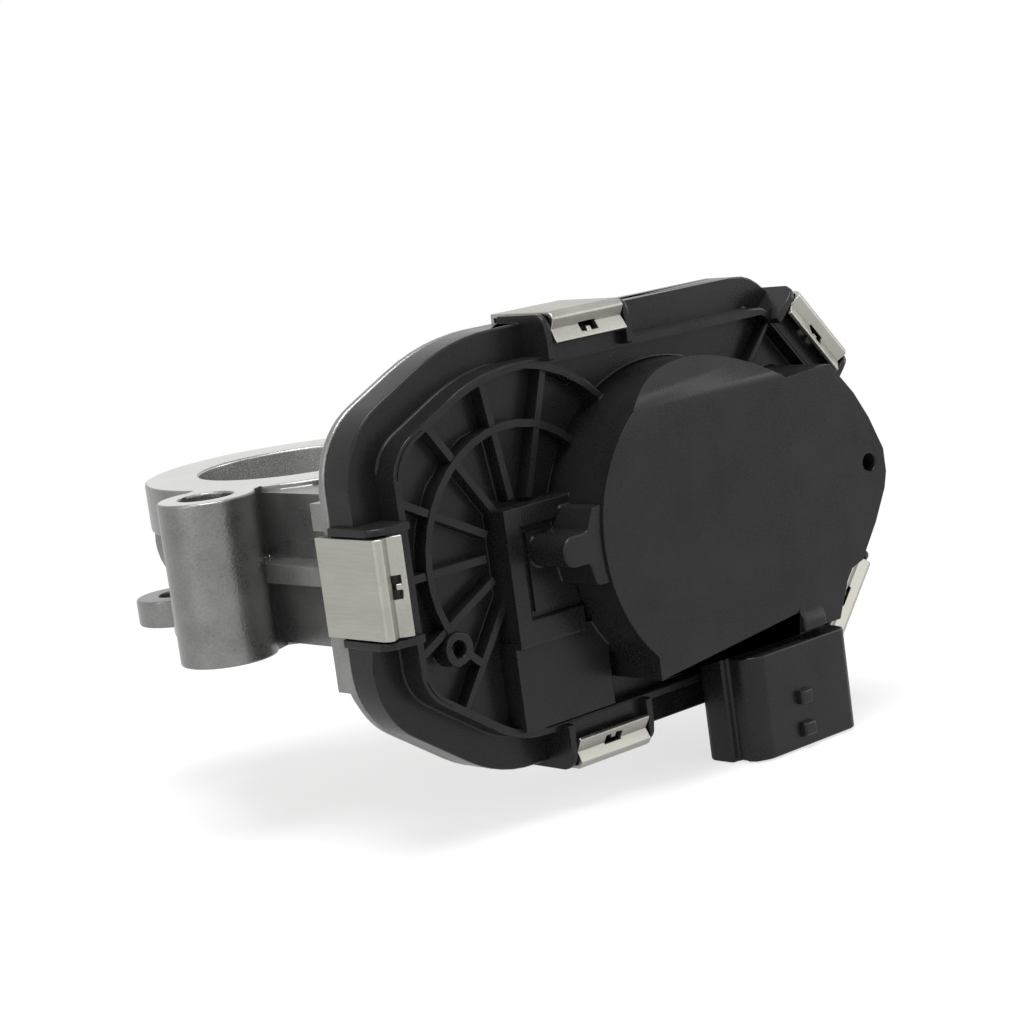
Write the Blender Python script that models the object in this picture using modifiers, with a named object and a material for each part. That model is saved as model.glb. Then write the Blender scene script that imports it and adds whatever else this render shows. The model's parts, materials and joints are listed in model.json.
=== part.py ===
"""Electronic throttle body: cast housing, butterfly valve, gear train, motor and clipped plastic cover.

Frame: metres, +Z up along the air bore, the throttle shaft along Y, the cover on the -Y side.
The origin is on the bore axis, in the plane of the lower mounting face.
"""

import math

import bmesh
import bpy
from mathutils import Matrix, Vector

MM = 0.001
LAP = 0.1 * MM  # solids that are joined run into each other by a few of these
OVER = 1.0 * MM  # cuts run past the face they open by this

# Air bore and casting
BODY_HEIGHT = 27.5 * MM
BORE_R = 18.0 * MM
BARREL_R = 23.5 * MM
FLANGE_R = 27.5 * MM
LOW_FLANGE_R = 26.3 * MM
TOP_FLANGE_THICKNESS = 8.4 * MM
LOW_FLANGE_THICKNESS = 6.0 * MM
BOLT_CIRCLE_R = 33.6 * MM
BOLT_HOLE_R = 4.5 * MM
BOSS_R = 8.2 * MM
EAR_CIRCLE_R = 29.3 * MM
EAR_R = 7.5 * MM
EAR_HOLE_R = 3.3 * MM
EAR_THICKNESS = 4.9 * MM
BOSS_ANGLES = (204.4, 24.4)
EAR_ANGLE = 114.4
SHAFT_Z = BODY_HEIGHT / 2

# Gear case: depths along Y, nearest the bore first
CASE_BACK_Y = -27.0 * MM
CASE_FLOOR = 3.0 * MM
CASE_FLOOR_Y = CASE_BACK_Y - CASE_FLOOR
CASE_FACE_Y = -46.0 * MM
CASE_WALL = 2.6 * MM
CASE_STEP = 4.5 * MM
CASE_FLANGE = 1.5 * MM
CASE_DRAFT = 0.3 * MM
GEAR_ZONE_X = -11.5 * MM
GEAR_FLOOR_Y = -38.0 * MM
MOTOR_ZONE_GAP = 3.0 * MM
SPRING_WELL_GAP = 0.9 * MM
CASE_RIB = 3.4 * MM
CASE_RIB_LEFT = -26.0 * MM
CASE_RIB_RIGHT = -13.0 * MM
CASE_RIB_REAR_Y = -12.0 * MM
NECK_LEFT = -22.0 * MM
NECK_RIGHT = 15.0 * MM
NECK_REAR_Y = -15.0 * MM
NECK_INSET = 1.0 * MM
WEB_HEIGHT = 12.0 * MM
WEB_REAR_Y = 6.0 * MM

# Cover outline, measured from the throttle axis: straight sides and corner radii
SIDE_LEFT = -30.5 * MM
SIDE_TOP = 35.3 * MM
SIDE_BOTTOM = -36.6 * MM
SIDE_RIGHT = 84.0 * MM
NOSE_CHAMFER_X = 19.0 * MM
NOSE_CHAMFER_Z = 22.0 * MM
LEFT_SLOPE_TOP_X = 24.5 * MM
LEFT_SLOPE_TOP_Z = 11.8 * MM
LEFT_SLOPE_LOW_X = 22.9 * MM
LEFT_SLOPE_LOW_Z = 15.1 * MM
CORNER_LEFT = 14.0 * MM
CORNER_SLOPE_TOP = 40.0 * MM
CORNER_SLOPE_LOW = 25.0 * MM
CORNER_NOSE = 9.0 * MM
CORNER_TIP = 14.0 * MM

# Cover: depths along Y and wall steps
FIT_GAP = 0.3 * MM
COVER_LEDGE_Y = -52.0 * MM
COVER_RIM_Y = -56.5 * MM
COVER_STEP_Y = -50.3 * MM
COVER_CEILING_Y = -51.0 * MM
COVER_FLOOR_Y = -53.5 * MM
COVER_RIB_Y = -56.3 * MM
COVER_LEDGE = 5.6 * MM
COVER_RIM = 1.3 * MM
COVER_WALL = 4.5 * MM
COVER_INNER_WALL = 7.4 * MM
GASKET_WIDTH = 1.8 * MM
GASKET_HEIGHT = 2.4 * MM
RIB_WIDTH = 1.25 * MM
RIB_RING_R = 20.2 * MM
RIB_OUTER_R = 29.6 * MM
RIB_HUB_R = 8.0 * MM
RIB_COUNT = 7
RIB_FIRST_ANGLE = 71.5
RIB_STEP_ANGLE = 27.2
RIB_RING_ANGLES = (47.5, 233.7)
RIB_OUTER_ANGLES = (43.5, 242.7)
CORNER_RIB_LENGTH = 11.5 * MM
CORNER_RIB_ANGLE = 49.0
CORNER_RIB_X = 22.5 * MM
CORNER_RIB_Z = 11.0 * MM

# Cover: sensor tower and terminal housing
TOWER_Y = -58.6 * MM
TOWER_LEFT = -5.5 * MM
TOWER_RIGHT = 9.3 * MM
TOWER_TOP = 7.2 * MM
TOWER_STEP_Z = -14.6 * MM
TOWER_FOOT_Y = -57.6 * MM
TOWER_FOOT_RIGHT = 14.4 * MM
TOWER_FOOT_Z = -29.3 * MM
TOWER_BORDER = 3.4 * MM
TOWER_PANEL = 0.9 * MM
TOWER_PLATE = 0.5 * MM
TOWER_PLATE_GAP = 1.0 * MM
SCREW_BOSS_X = -16.8 * MM
SCREW_BOSS_Z = -12.7 * MM
SCREW_BOSS_R = 2.8 * MM
SCREW_HOLE_R = 1.4 * MM
PLATEAU_Y = -67.0 * MM
PLATEAU_X = 35.6 * MM
PLATEAU_Z = -1.0 * MM
PLATEAU_R = 28.0 * MM
PLATEAU_FLATTENED = 0.93
PLATEAU_EDGE = 1.2 * MM
PLATEAU_ROOF = 2.8 * MM
PLATEAU_WALL = 7.6 * MM
PLATEAU_NOSE_GAP = 6.6 * MM
PLATEAU_NOSE_X = SIDE_RIGHT - PLATEAU_NOSE_GAP
PLATEAU_NOSE_TOP = 18.8 * MM
PLATEAU_LOW = -25.4 * MM
PLATEAU_SLOPE_Z = 19.0 * MM
PLATEAU_SLOPE = 5.0 * MM
PLATEAU_SLOPE_ROOM = 20.0 * MM
TAB_LEFT = -0.8 * MM
TAB_TOP = 2.0 * MM
TAB_LOW = -3.2 * MM
TAB_ROUND = 2.4 * MM
TAB_ROOT_X = 4.6 * MM
TAB_ROOT_TOP = 5.6 * MM
TAB_ROOT_LOW = -7.0 * MM
TAB_ROOT_SLANTS = (1.0 * MM, 1.8 * MM)
TAB_ROOT_ROUND = 0.8 * MM
PLATEAU_STEP = 4.0 * MM
WEDGE_IN = 10.4 * MM
WEDGE_WIDTH = 5.6 * MM
WEDGE_HEIGHT = 5.4 * MM
WEDGE_FLAT = 2.2 * MM
WEDGE_OUT = 1.2 * MM
PLATEAU_HOLE = 6.0 * MM
PLATEAU_HOLE_X = PLATEAU_NOSE_X - 4.2 * MM
PLATEAU_HOLE_R = 1.6 * MM

# Connector, open towards -Z
PLUG_LEFT = 34.4 * MM
PLUG_STEP_X = 35.9 * MM
PLUG_RIGHT = 61.0 * MM
PLUG_TOP_Z = -26.6 * MM
PLUG_MOUTH_Z = -44.6 * MM
PLUG_BACK_Y = -56.6 * MM
PLUG_FRONT_Y = -68.4 * MM
PLUG_STEP_Y = -63.0 * MM
PLUG_WALL = 1.7 * MM
PLUG_ROUND = 3.6 * MM
PLUG_DEPTH = 13.0 * MM
PLUG_CORNER = 1.2 * MM
NUB_IN = 14.8 * MM
NUB_WIDTH = 2.8 * MM
NUB_HEIGHT = 2.4 * MM
NUB_OUT = 1.2 * MM
NUB_RISES = (2.0 * MM, 7.6 * MM)
PIN_COUNT = 6
PIN_WIDTH = 1.5 * MM
PIN_LENGTH = 7.5 * MM
PIN_THICKNESS = 0.8 * MM

# Position sensor's board
BOARD_X = 9.0 * MM
BOARD_Z = 8.0 * MM
BOARD_THICKNESS = 1.2 * MM
CHIP_SIZE = 6.0 * MM
CHIP_HEIGHT = 0.8 * MM

# Spring clips
CLIP_WIDTH = 16.0 * MM
CLIP_SHEET = 0.8 * MM
CLIP_OUT = 1.4 * MM
CLIP_LIP = 3.6 * MM
CLIP_HOOK = 3.0 * MM
CLIP_WINDOW = 3.8 * MM
CLIP_TONGUE = 1.0 * MM
CLIP_WINDOW_DEPTH = 1.6 * MM
CLIP_LIP_EDGE = 0.8 * MM
CLIP_PAD_Y = -57.6 * MM
CLIP_PAD_DEPTH = 6.4 * MM
CLIP_SEAT = 1.0 * MM
CLIP_SHOULDER = 1.2 * MM
CLIP_STEP = 2.2 * MM
CLIP_LIP_ROOM = 3.2 * MM
CLIP_BENDS = ((0.0 * MM, 0.5 * MM), (0.4 * MM, 1.25 * MM), (1.2 * MM, 1.75 * MM))
CLIP_VALLEY = 2.1 * MM
CLIP_LIP_RISE = 2.1 * MM
GUIDE_WIDTH = 1.3 * MM
GUIDE_OUT = CLIP_OUT - 2 * LAP
GUIDE_RISE = 0.6 * MM
GUIDE_ROUND = 2.4 * MM
SEAT_SHORT = 4.4 * MM
SEAT_LONG = 9.0 * MM
SEAT_DEPTH = 3.6 * MM
CLIP_TOP_X = 18.6 * MM
CLIP_BOTTOM_X = 12.2 * MM

# Throttle shaft, valve and bearings
SHAFT_R = 4.5 * MM
SHAFT_GAP = 0.3 * MM
SHAFT_REAR_Y = 30.0 * MM
SHAFT_FRONT_Y = -45.2 * MM
PLATE_THICKNESS = 2.0 * MM
PLATE_CLOSED = 6.0
PLATE_SCREW_Y = 8.0 * MM
PLATE_SCREW_R = 1.6 * MM
PLATE_SCREW_HEAD_R = 3.0 * MM
PLATE_SCREW_HEAD = 1.5 * MM
SHAFT_FLAT = 1.2 * MM
SCREW_SLOT = 0.8 * MM
BEARING_R = 7.6 * MM
BEARING_LENGTH = 7.5 * MM
FRONT_BEARING_Y = -28.6 * MM
REAR_BEARING_Y = 30.4 * MM
BEARING_BOSS_R = 10.4 * MM
BEARING_BOSS_Y = -37.0 * MM
REAR_BOSS_Y = 34.0 * MM
PLUG_CAP = 1.6 * MM
SEAL_LENGTH = 2.6 * MM

# Gear train: module, teeth and layers along Y
FINE_MODULE = 0.8 * MM
COARSE_MODULE = 1.0 * MM
PRESSURE_ANGLE = 25.0
BACKLASH = 0.14 * MM
SECTOR_TEETH = 50
SECTOR_CUT = 17
SECTOR_FIRST_TOOTH = -2
SECTOR_SHOULDER = 12.0
SMALL_TEETH = 12
LARGE_TEETH = 46
PINION_TEETH = 12
SECTOR_Y = (-39.2 * MM, -43.7 * MM)
LARGE_Y = (-45.0 * MM, -49.4 * MM)
SMALL_REAR_Y = -38.6 * MM
HUB_R = 8.4 * MM
HUB_FRONT_Y = -45.6 * MM
MAGNET_R = 7.0 * MM
MAGNET_THICKNESS = 2.0 * MM
GEAR_PIN_R = 2.0 * MM
GEAR_PIN_BOSS_R = 6.0 * MM
GEAR_PIN_END_Y = CASE_BACK_Y - 2.0 * MM

# Return spring
SPRING_R = 13.2 * MM
SPRING_WIRE = 1.2 * MM
SPRING_GAP = 0.5 * MM
SPRING_LEG = 3.4 * MM
SPRING_TURNS = 4
SPRING_POINTS = 10

# Motor
MOTOR_R = 14.5 * MM
MOTOR_SHELL = 1.2 * MM
MOTOR_REAR_Y = 11.0 * MM
MOTOR_POCKET_WALL = 3.0 * MM
MOTOR_SHAFT_R = 1.5 * MM
MOTOR_CAP = 4.0 * MM
MOTOR_PLATE = 1.8 * MM
MOTOR_EAR_Z = 20.0 * MM
MOTOR_EAR_R = 5.0 * MM
MOTOR_SCREW_R = 1.8 * MM
MOTOR_SCREW_HEAD_R = 3.4 * MM
MOTOR_SCREW_HEAD = 2.2 * MM
MOTOR_SCREW_LENGTH = 7.0 * MM
MOTOR_SCREW_SOCKET_R = 1.5 * MM
MOTOR_MAGNET = 2.2 * MM
AIR_GAP = 0.6 * MM
ARMATURE_LENGTH = 22.0 * MM
COMMUTATOR_R = 4.2 * MM
TERMINAL_X = 7.5 * MM
TERMINAL_Z = 9.5 * MM
TERMINAL_WIDTH = 3.2 * MM
TERMINAL_THICKNESS = 0.8 * MM
TERMINAL_GAP = 0.8 * MM
BRUSH_WIDTH = 3.0 * MM
BRUSH_LENGTH = 5.0 * MM
ARMATURE_SLOTS = 5
ARMATURE_SLOT = 2.8 * MM
ARMATURE_CORE_R = 4.5 * MM
COMMUTATOR_LENGTH = 8.0 * MM
MAGNET_ARC = 130.0
MAGNET_LENGTH = 23.8 * MM
MAGNET_END = 4.0 * MM
ARMATURE_END = 5.0 * MM
WASHER_R = 11.5 * MM
WASHER_HOLE_R = 7.0 * MM

# Derived places
STAGE_TWO = COARSE_MODULE * (SECTOR_TEETH + SMALL_TEETH) / 2
STAGE_ONE = FINE_MODULE * (LARGE_TEETH + PINION_TEETH) / 2
GEAR_PIN_X = STAGE_TWO
MOTOR_X = STAGE_TWO + STAGE_ONE
POCKET_R = MOTOR_R + 0.5 * MM
ARMATURE_R = MOTOR_R - MOTOR_SHELL - FIT_GAP - MOTOR_MAGNET - AIR_GAP
SPRING_WELL_R = SPRING_R + SPRING_WIRE / 2 + SPRING_WELL_GAP
MOTOR_ZONE_X = MOTOR_X - MOTOR_R - MOTOR_ZONE_GAP
POCKET_END_Y = MOTOR_REAR_Y + 1.9 * MM

ROUND = 40
SMALL_ROUND = 20
WELD = 1e-7


def clear_scene():
    for obj in list(bpy.data.objects):
        bpy.data.objects.remove(obj)


def make_collection(name):
    found = bpy.data.collections.new(name)
    bpy.context.scene.collection.children.link(found)
    return found


def make_material(name, colour, roughness, metallic):
    found = bpy.data.materials.new(name)
    found.use_nodes = True
    shader = found.node_tree.nodes["Principled BSDF"]
    shader.inputs["Base Color"].default_value = (*colour, 1.0)
    shader.inputs["Roughness"].default_value = roughness
    shader.inputs["Metallic"].default_value = metallic
    return found


clear_scene()
PARTS = make_collection("throttle_body")
CUTTERS = make_collection("cutters")
CAST = make_material("cast_aluminium", (0.46, 0.46, 0.45), 0.42, 1.0)
STEEL = make_material("spring_steel", (0.62, 0.61, 0.58), 0.3, 1.0)
BRIGHT = make_material("bright_steel", (0.55, 0.55, 0.56), 0.25, 1.0)
BLACK = make_material("black_plastic", (0.022, 0.023, 0.024), 0.45, 0.0)
NYLON = make_material("natural_nylon", (0.62, 0.6, 0.52), 0.5, 0.0)
BRASS = make_material("brass", (0.62, 0.48, 0.2), 0.3, 1.0)
RUBBER = make_material("black_rubber", (0.03, 0.03, 0.03), 0.7, 0.0)
FERRITE = make_material("ferrite", (0.08, 0.08, 0.085), 0.6, 0.0)
COPPER = make_material("copper", (0.6, 0.28, 0.14), 0.35, 1.0)


# Solids


def place_mesh(name, bm):
    bmesh.ops.recalc_face_normals(bm, faces=bm.faces)
    mesh = bpy.data.meshes.new(name)
    bm.to_mesh(mesh)
    bm.free()
    obj = bpy.data.objects.new(name, mesh)
    CUTTERS.objects.link(obj)
    return obj


def rod(radius, start, end, at=(0.0, 0.0), axis="Y", sides=ROUND):
    """A cylinder along Y or Z; at holds the two other coordinates in X, Y, Z order."""
    middle = (start + end) / 2
    if axis == "Y":
        place = Matrix.Translation((at[0], middle, at[1])) @ Matrix.Rotation(math.radians(-90), 4, "X")
    else:
        place = Matrix.Translation((at[0], at[1], middle))
    bm = bmesh.new()
    bmesh.ops.create_cone(
        bm, cap_ends=True, segments=sides, radius1=radius, radius2=radius, depth=abs(end - start),
        matrix=place,
    )
    return place_mesh("rod", bm)


def block(low, high):
    low, high = Vector(low), Vector(high)
    bm = bmesh.new()
    bmesh.ops.create_cube(
        bm, size=1.0, matrix=Matrix.Translation((low + high) / 2) @ Matrix.Diagonal((*(high - low), 1.0)),
    )
    return place_mesh("block", bm)


def baked(obj):
    """The evaluated object as a plain mesh, with doubles welded."""
    graph = bpy.context.evaluated_depsgraph_get()
    mesh = bpy.data.meshes.new_from_object(obj.evaluated_get(graph))
    bm = bmesh.new()
    bm.from_mesh(mesh)
    bmesh.ops.remove_doubles(bm, verts=bm.verts, dist=WELD)
    bm.transform(obj.matrix_world)
    bpy.data.objects.remove(obj)
    return place_mesh("baked", bm)


def sheet(outline, start, end, axis="Y"):
    """A flat outline given thickness along Y (outline in X, Z) or along Z (outline in X, Y)."""
    curve = bpy.data.curves.new("outline", "CURVE")
    curve.dimensions = "2D"
    curve.fill_mode = "BOTH"
    curve.extrude = abs(end - start) / 2
    spline = curve.splines.new("POLY")
    spline.points.add(len(outline) - 1)
    for point, (a, b) in zip(spline.points, outline):
        point.co = (a, b, 0.0, 1.0)
    spline.use_cyclic_u = True
    obj = bpy.data.objects.new("outline", curve)
    CUTTERS.objects.link(obj)
    middle = (start + end) / 2
    if axis == "Y":
        obj.matrix_world = Matrix.Translation((0, middle, 0)) @ Matrix.Rotation(math.radians(90), 4, "X")
    else:
        obj.matrix_world = Matrix.Translation((0, 0, middle))
    bpy.context.view_layer.update()
    return baked(obj)


def combine(base, tools, operation):
    for tool in tools:
        step = base.modifiers.new(operation.lower(), "BOOLEAN")
        step.operation = operation
        step.solver = "EXACT"
        step.object = tool
    bpy.context.view_layer.update()
    graph = bpy.context.evaluated_depsgraph_get()
    mesh = bpy.data.meshes.new_from_object(base.evaluated_get(graph))
    base.modifiers.clear()
    bm = bmesh.new()
    bm.from_mesh(mesh)
    bmesh.ops.remove_doubles(bm, verts=bm.verts, dist=WELD)
    bm.to_mesh(mesh)
    bm.free()
    base.data = mesh
    for tool in tools:
        bpy.data.objects.remove(tool)
    return base


def join(first, *others):
    return combine(first, others, "UNION")


def cut(base, *tools):
    return combine(base, tools, "DIFFERENCE")


def finish(obj, name, material, on=None):
    """Names a solid, shades it and files it with the parts, hung on a joint's empty where it moves."""
    obj.name = name
    obj.data.name = name
    obj.data.materials.clear()
    obj.data.materials.append(material)
    obj.data.shade_smooth()
    obj.data.set_sharp_from_angle(angle=math.radians(30))
    CUTTERS.objects.unlink(obj)
    PARTS.objects.link(obj)
    if on is not None:
        obj.data.transform(Matrix.Translation(-on.location))
        obj.parent = on
    return obj


def joint_axis(name, x):
    empty = bpy.data.objects.new(name, None)
    empty.location = (x, 0.0, SHAFT_Z)
    PARTS.objects.link(empty)
    return empty


# Outlines


def arc(centre, radius, first, last, steps):
    """Points on an arc, angles in degrees from the first axis."""
    found = []
    for i in range(steps + 1):
        angle = math.radians(first + (last - first) * i / steps)
        found.append((centre[0] + radius * math.cos(angle), centre[1] + radius * math.sin(angle)))
    return found


def rounded(corners, radii, steps):
    """An anticlockwise outline with each corner, outer or inner, rounded to its radius in so many steps."""
    found = []
    count = len(corners)
    for i, (radius, pieces) in enumerate(zip(radii, steps)):
        here = Vector(corners[i])
        before = (Vector(corners[i - 1]) - here).normalized()
        after = (Vector(corners[(i + 1) % count]) - here).normalized()
        half = before.angle(after) / 2
        middle = here + (before + after).normalized() * (radius / math.sin(half))
        start = here + before * (radius / math.tan(half)) - middle
        sweep = (math.pi - 2 * half) * math.copysign(1.0, after.cross(before))
        for k in range(pieces + 1):
            turned = start.copy()
            turned.rotate(Matrix.Rotation(sweep * k / pieces, 2))
            found.append(tuple(middle + turned))
    return found


def inset_corners(corners, distance):
    """The corners of an anticlockwise outline with each side moved in by distance."""
    found = []
    count = len(corners)
    for i in range(count):
        here = Vector(corners[i])
        before = (here - Vector(corners[i - 1])).normalized()
        after = (Vector(corners[(i + 1) % count]) - here).normalized()
        turn = before.cross(after)
        found.append(tuple(here + (after - before) * (distance / turn)))
    return found


def case_outline(inset):
    """The outline shared by the gear case and the cover, moved in by inset."""
    low = SIDE_BOTTOM + SHAFT_Z
    high = SIDE_TOP + SHAFT_Z
    corners = [
        (SIDE_LEFT + LEFT_SLOPE_LOW_X, low),
        (SIDE_RIGHT - NOSE_CHAMFER_X, low),
        (SIDE_RIGHT, low + NOSE_CHAMFER_Z),
        (SIDE_RIGHT, high - NOSE_CHAMFER_Z),
        (SIDE_RIGHT - NOSE_CHAMFER_X, high),
        (SIDE_LEFT + LEFT_SLOPE_TOP_X, high),
        (SIDE_LEFT, high - LEFT_SLOPE_TOP_Z),
        (SIDE_LEFT, low + LEFT_SLOPE_LOW_Z),
    ]
    radii = [
        CORNER_SLOPE_LOW, CORNER_NOSE, CORNER_TIP, CORNER_TIP,
        CORNER_NOSE, CORNER_SLOPE_TOP, CORNER_LEFT, CORNER_LEFT,
    ]
    return rounded(inset_corners(corners, inset), [r - inset for r in radii], [6, 4, 5, 5, 4, 6, 10, 10])


def right_of(outline, x):
    """The part of an outline to the right of x."""
    found = []
    for i, here in enumerate(outline):
        before = outline[i - 1]
        if (here[0] > x) != (before[0] > x):
            share = (x - before[0]) / (here[0] - before[0])
            found.append((x, before[1] + share * (here[1] - before[1])))
        if here[0] > x:
            found.append(here)
    return found


def ring_outline(outer, inner, first, last, centre=(0.0, 0.0), steps=20):
    return arc(centre, outer, first, last, steps) + arc(centre, inner, last, first, steps)


def gear_outline(module, teeth, phase, first=0, count=None, root_shift=0.0):
    """An involute gear's outline about (0, 0): phase is the angle of tooth 0, in degrees."""
    pressure = math.radians(PRESSURE_ANGLE)
    pitch_r = module * teeth / 2
    base_r = pitch_r * math.cos(pressure)
    tip_r = pitch_r + 0.9 * module
    root_r = pitch_r - 1.2 * module - root_shift
    spread = math.tan(pressure) - pressure
    half_tooth = math.pi / (2 * teeth) - BACKLASH / (2 * pitch_r)

    def half_angle(radius):
        if radius <= base_r:
            return half_tooth + spread
        roll = math.acos(base_r / radius)
        return half_tooth + spread - (math.tan(roll) - roll)

    flank = [root_r, max(base_r, root_r + 0.1 * module), pitch_r, (pitch_r + tip_r) / 2, tip_r]
    outline = []
    for i in range(first, first + (count or teeth)):
        middle = math.radians(phase) + 2 * math.pi * i / teeth
        for side, radii in ((-1, flank), (1, flank[::-1])):
            for radius in radii:
                angle = middle + side * half_angle(radius)
                outline.append((radius * math.cos(angle), radius * math.sin(angle)))
    return outline


def shifted(outline, x, z):
    return [(a + x, b + z) for a, b in outline]


def polar(radius, degrees):
    return radius * math.cos(math.radians(degrees)), radius * math.sin(math.radians(degrees))


# Clip stations: a point on the outline and the angle of its outward normal, in degrees

NOSE_ANGLE = math.degrees(math.atan2(NOSE_CHAMFER_X, NOSE_CHAMFER_Z))
NOSE_X = SIDE_RIGHT - NOSE_CHAMFER_X / 2
STATIONS = {
    "clip_left": (SIDE_LEFT, 0.0, 180.0),
    "clip_top": (CLIP_TOP_X, SIDE_TOP, 90.0),
    "clip_bottom": (CLIP_BOTTOM_X, SIDE_BOTTOM, -90.0),
    "clip_upper_right": (NOSE_X, SIDE_TOP - NOSE_CHAMFER_Z / 2, NOSE_ANGLE),
    "clip_lower_right": (NOSE_X, SIDE_BOTTOM + NOSE_CHAMFER_Z / 2, -NOSE_ANGLE),
}


def at_station(obj, station):
    """Moves a solid from the station's own frame, X outwards and Z along the edge, to the case."""
    x, z, degrees = STATIONS[station]
    turn = Matrix.Rotation(math.radians(-degrees), 4, "Y")
    obj.data.transform(Matrix.Translation((x, 0.0, z + SHAFT_Z)) @ turn)
    return obj


# Housing


def spoke(degrees, half_width, low, high, reach=BOLT_CIRCLE_R):
    """A straight web from the bore axis out to the bolt circle."""
    web = block((0.0, -half_width, low), (reach, half_width, high))
    web.data.transform(Matrix.Rotation(math.radians(degrees), 4, "Z"))
    return web


def flanged_barrel():
    """The barrel with its two flanges, bolt bosses and low ear, trimmed to the two mounting faces."""
    over = 0.4 * MM
    top = BODY_HEIGHT + over
    pieces = [
        rod(FLANGE_R, BODY_HEIGHT - TOP_FLANGE_THICKNESS, top + over, (0, 0), "Z", 64),
        rod(LOW_FLANGE_R, -2 * over, LOW_FLANGE_THICKNESS, (0, 0), "Z", 64),
    ]
    for i, degrees in enumerate(BOSS_ANGLES):
        more = (3 + 2 * i) * over
        pieces.append(rod(BOSS_R, -more, top + more, polar(BOLT_CIRCLE_R, degrees), "Z"))
        pieces.append(spoke(degrees, 0.8 * BOSS_R, -more - over, top + more + over))
    pieces.append(rod(EAR_R, -8 * over, EAR_THICKNESS, polar(EAR_CIRCLE_R, EAR_ANGLE), "Z", 32))
    pieces.append(spoke(EAR_ANGLE, 0.9 * EAR_R, -9 * over, EAR_THICKNESS - over, EAR_CIRCLE_R))
    body = join(rod(BARREL_R, -over, top, (0, 0), "Z", 64), *pieces)
    far = 60 * MM
    above = block((-far, -far, BODY_HEIGHT), (far, far, BODY_HEIGHT + far))
    below = block((-far, -far, -far), (far, far, 0.0))
    return cut(body, above, below)


def bolt_holes():
    found = []
    spots = [(BOLT_CIRCLE_R, degrees, BOLT_HOLE_R, BODY_HEIGHT) for degrees in BOSS_ANGLES]
    spots.append((EAR_CIRCLE_R, EAR_ANGLE, EAR_HOLE_R, EAR_THICKNESS))
    for reach, degrees, radius, top in spots:
        found.append(rod(radius, -OVER, top + OVER, polar(reach, degrees), "Z", 32))
    return found


def clip_seats():
    """A pair of posts behind the case flange at each clip, which keep the clip's hook in its place."""
    found = []
    near = CLIP_WIDTH / 2 + 2 * FIT_GAP
    for station in STATIONS:
        below = SEAT_LONG if station == "clip_left" else SEAT_SHORT
        for side, length in ((-1, SEAT_SHORT), (1, below)):
            low, high = sorted((side * near, side * (near + length)))
            post = block(
                (-CASE_STEP - OVER, CASE_FACE_Y + CASE_FLANGE - 6 * LAP, low),
                (-2 * FIT_GAP, CASE_FACE_Y + CASE_FLANGE + SEAT_DEPTH, high),
            )
            found.append(at_station(post, station))
    return found


def case_shells():
    """The gear case's solids: thin flange, gear zone, deeper motor zone and the spring's well."""
    z = SHAFT_Z
    outer = case_outline(CASE_STEP)
    deep = case_outline(CASE_STEP + CASE_DRAFT)
    front = CASE_FACE_Y + CASE_FLANGE
    return [
        sheet(case_outline(0.0), front, CASE_FACE_Y),
        sheet(right_of(outer, GEAR_ZONE_X), GEAR_FLOOR_Y + CASE_FLOOR, front - 5 * LAP),
        sheet(right_of(deep, MOTOR_ZONE_X - CASE_WALL), CASE_BACK_Y, front - 9 * LAP),
        rod(SPRING_WELL_R + CASE_WALL, CASE_BACK_Y + 3 * LAP, front - 13 * LAP, (0, z), "Y", 48),
    ]


def case_hollows():
    """What is cut from the gear case: the gear zone, the motor zone and the spring's well."""
    z = SHAFT_Z
    inner = case_outline(CASE_STEP + CASE_WALL)
    deep = case_outline(CASE_STEP + CASE_WALL + CASE_DRAFT)
    ahead = CASE_FACE_Y - OVER
    return [
        sheet(right_of(inner, GEAR_ZONE_X + CASE_WALL), GEAR_FLOOR_Y, ahead),
        sheet(right_of(deep, MOTOR_ZONE_X), CASE_FLOOR_Y, ahead - 3 * LAP),
        rod(SPRING_WELL_R, CASE_FLOOR_Y, ahead - 6 * LAP, (0, z), "Y", 48),
    ]


def case_links():
    """What ties the gear case to the barrel: a stepped neck, a side rib and a web to the motor's pocket."""
    z = SHAFT_Z
    rear = CASE_BACK_Y - 15 * LAP
    front = CASE_FACE_Y + CASE_FLANGE - 7 * LAP
    cheek = GEAR_ZONE_X + 5 * LAP
    section = [
        (NECK_LEFT, front - LAP),
        (cheek, front - LAP),
        (cheek, rear),
        (NECK_RIGHT, rear),
        (NECK_RIGHT, NECK_REAR_Y),
        (NECK_LEFT, NECK_REAR_Y),
    ]
    neck = sheet(section, NECK_INSET, BODY_HEIGHT - NECK_INSET, "Z")
    rib = block(
        (CASE_RIB_LEFT, front, z - CASE_RIB / 2),
        (CASE_RIB_RIGHT, CASE_RIB_REAR_Y, z + CASE_RIB / 2),
    )
    web = block(
        (NECK_RIGHT - 2 * OVER, rear + 5 * LAP, z - WEB_HEIGHT / 2),
        (MOTOR_X - MOTOR_R + 2 * OVER, WEB_REAR_Y, z + WEB_HEIGHT / 2),
    )
    return [neck, rib, web]


def case_bosses():
    """The rear bearing's boss, the motor's pocket and the boss that carries the gear pin."""
    z = SHAFT_Z
    pocket_r = POCKET_R + MOTOR_POCKET_WALL
    pocket_end = POCKET_END_Y + MOTOR_POCKET_WALL
    pin_ends = (CASE_BACK_Y - 4 * LAP, GEAR_FLOOR_Y + 6 * LAP)
    return [
        rod(BEARING_BOSS_R, BORE_R, REAR_BOSS_Y, (0, z)),
        rod(pocket_r, CASE_BACK_Y - 5 * LAP, pocket_end, (MOTOR_X, z), "Y", 48),
        rod(GEAR_PIN_BOSS_R, *pin_ends, (GEAR_PIN_X, z), "Y", SMALL_ROUND),
    ]


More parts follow.
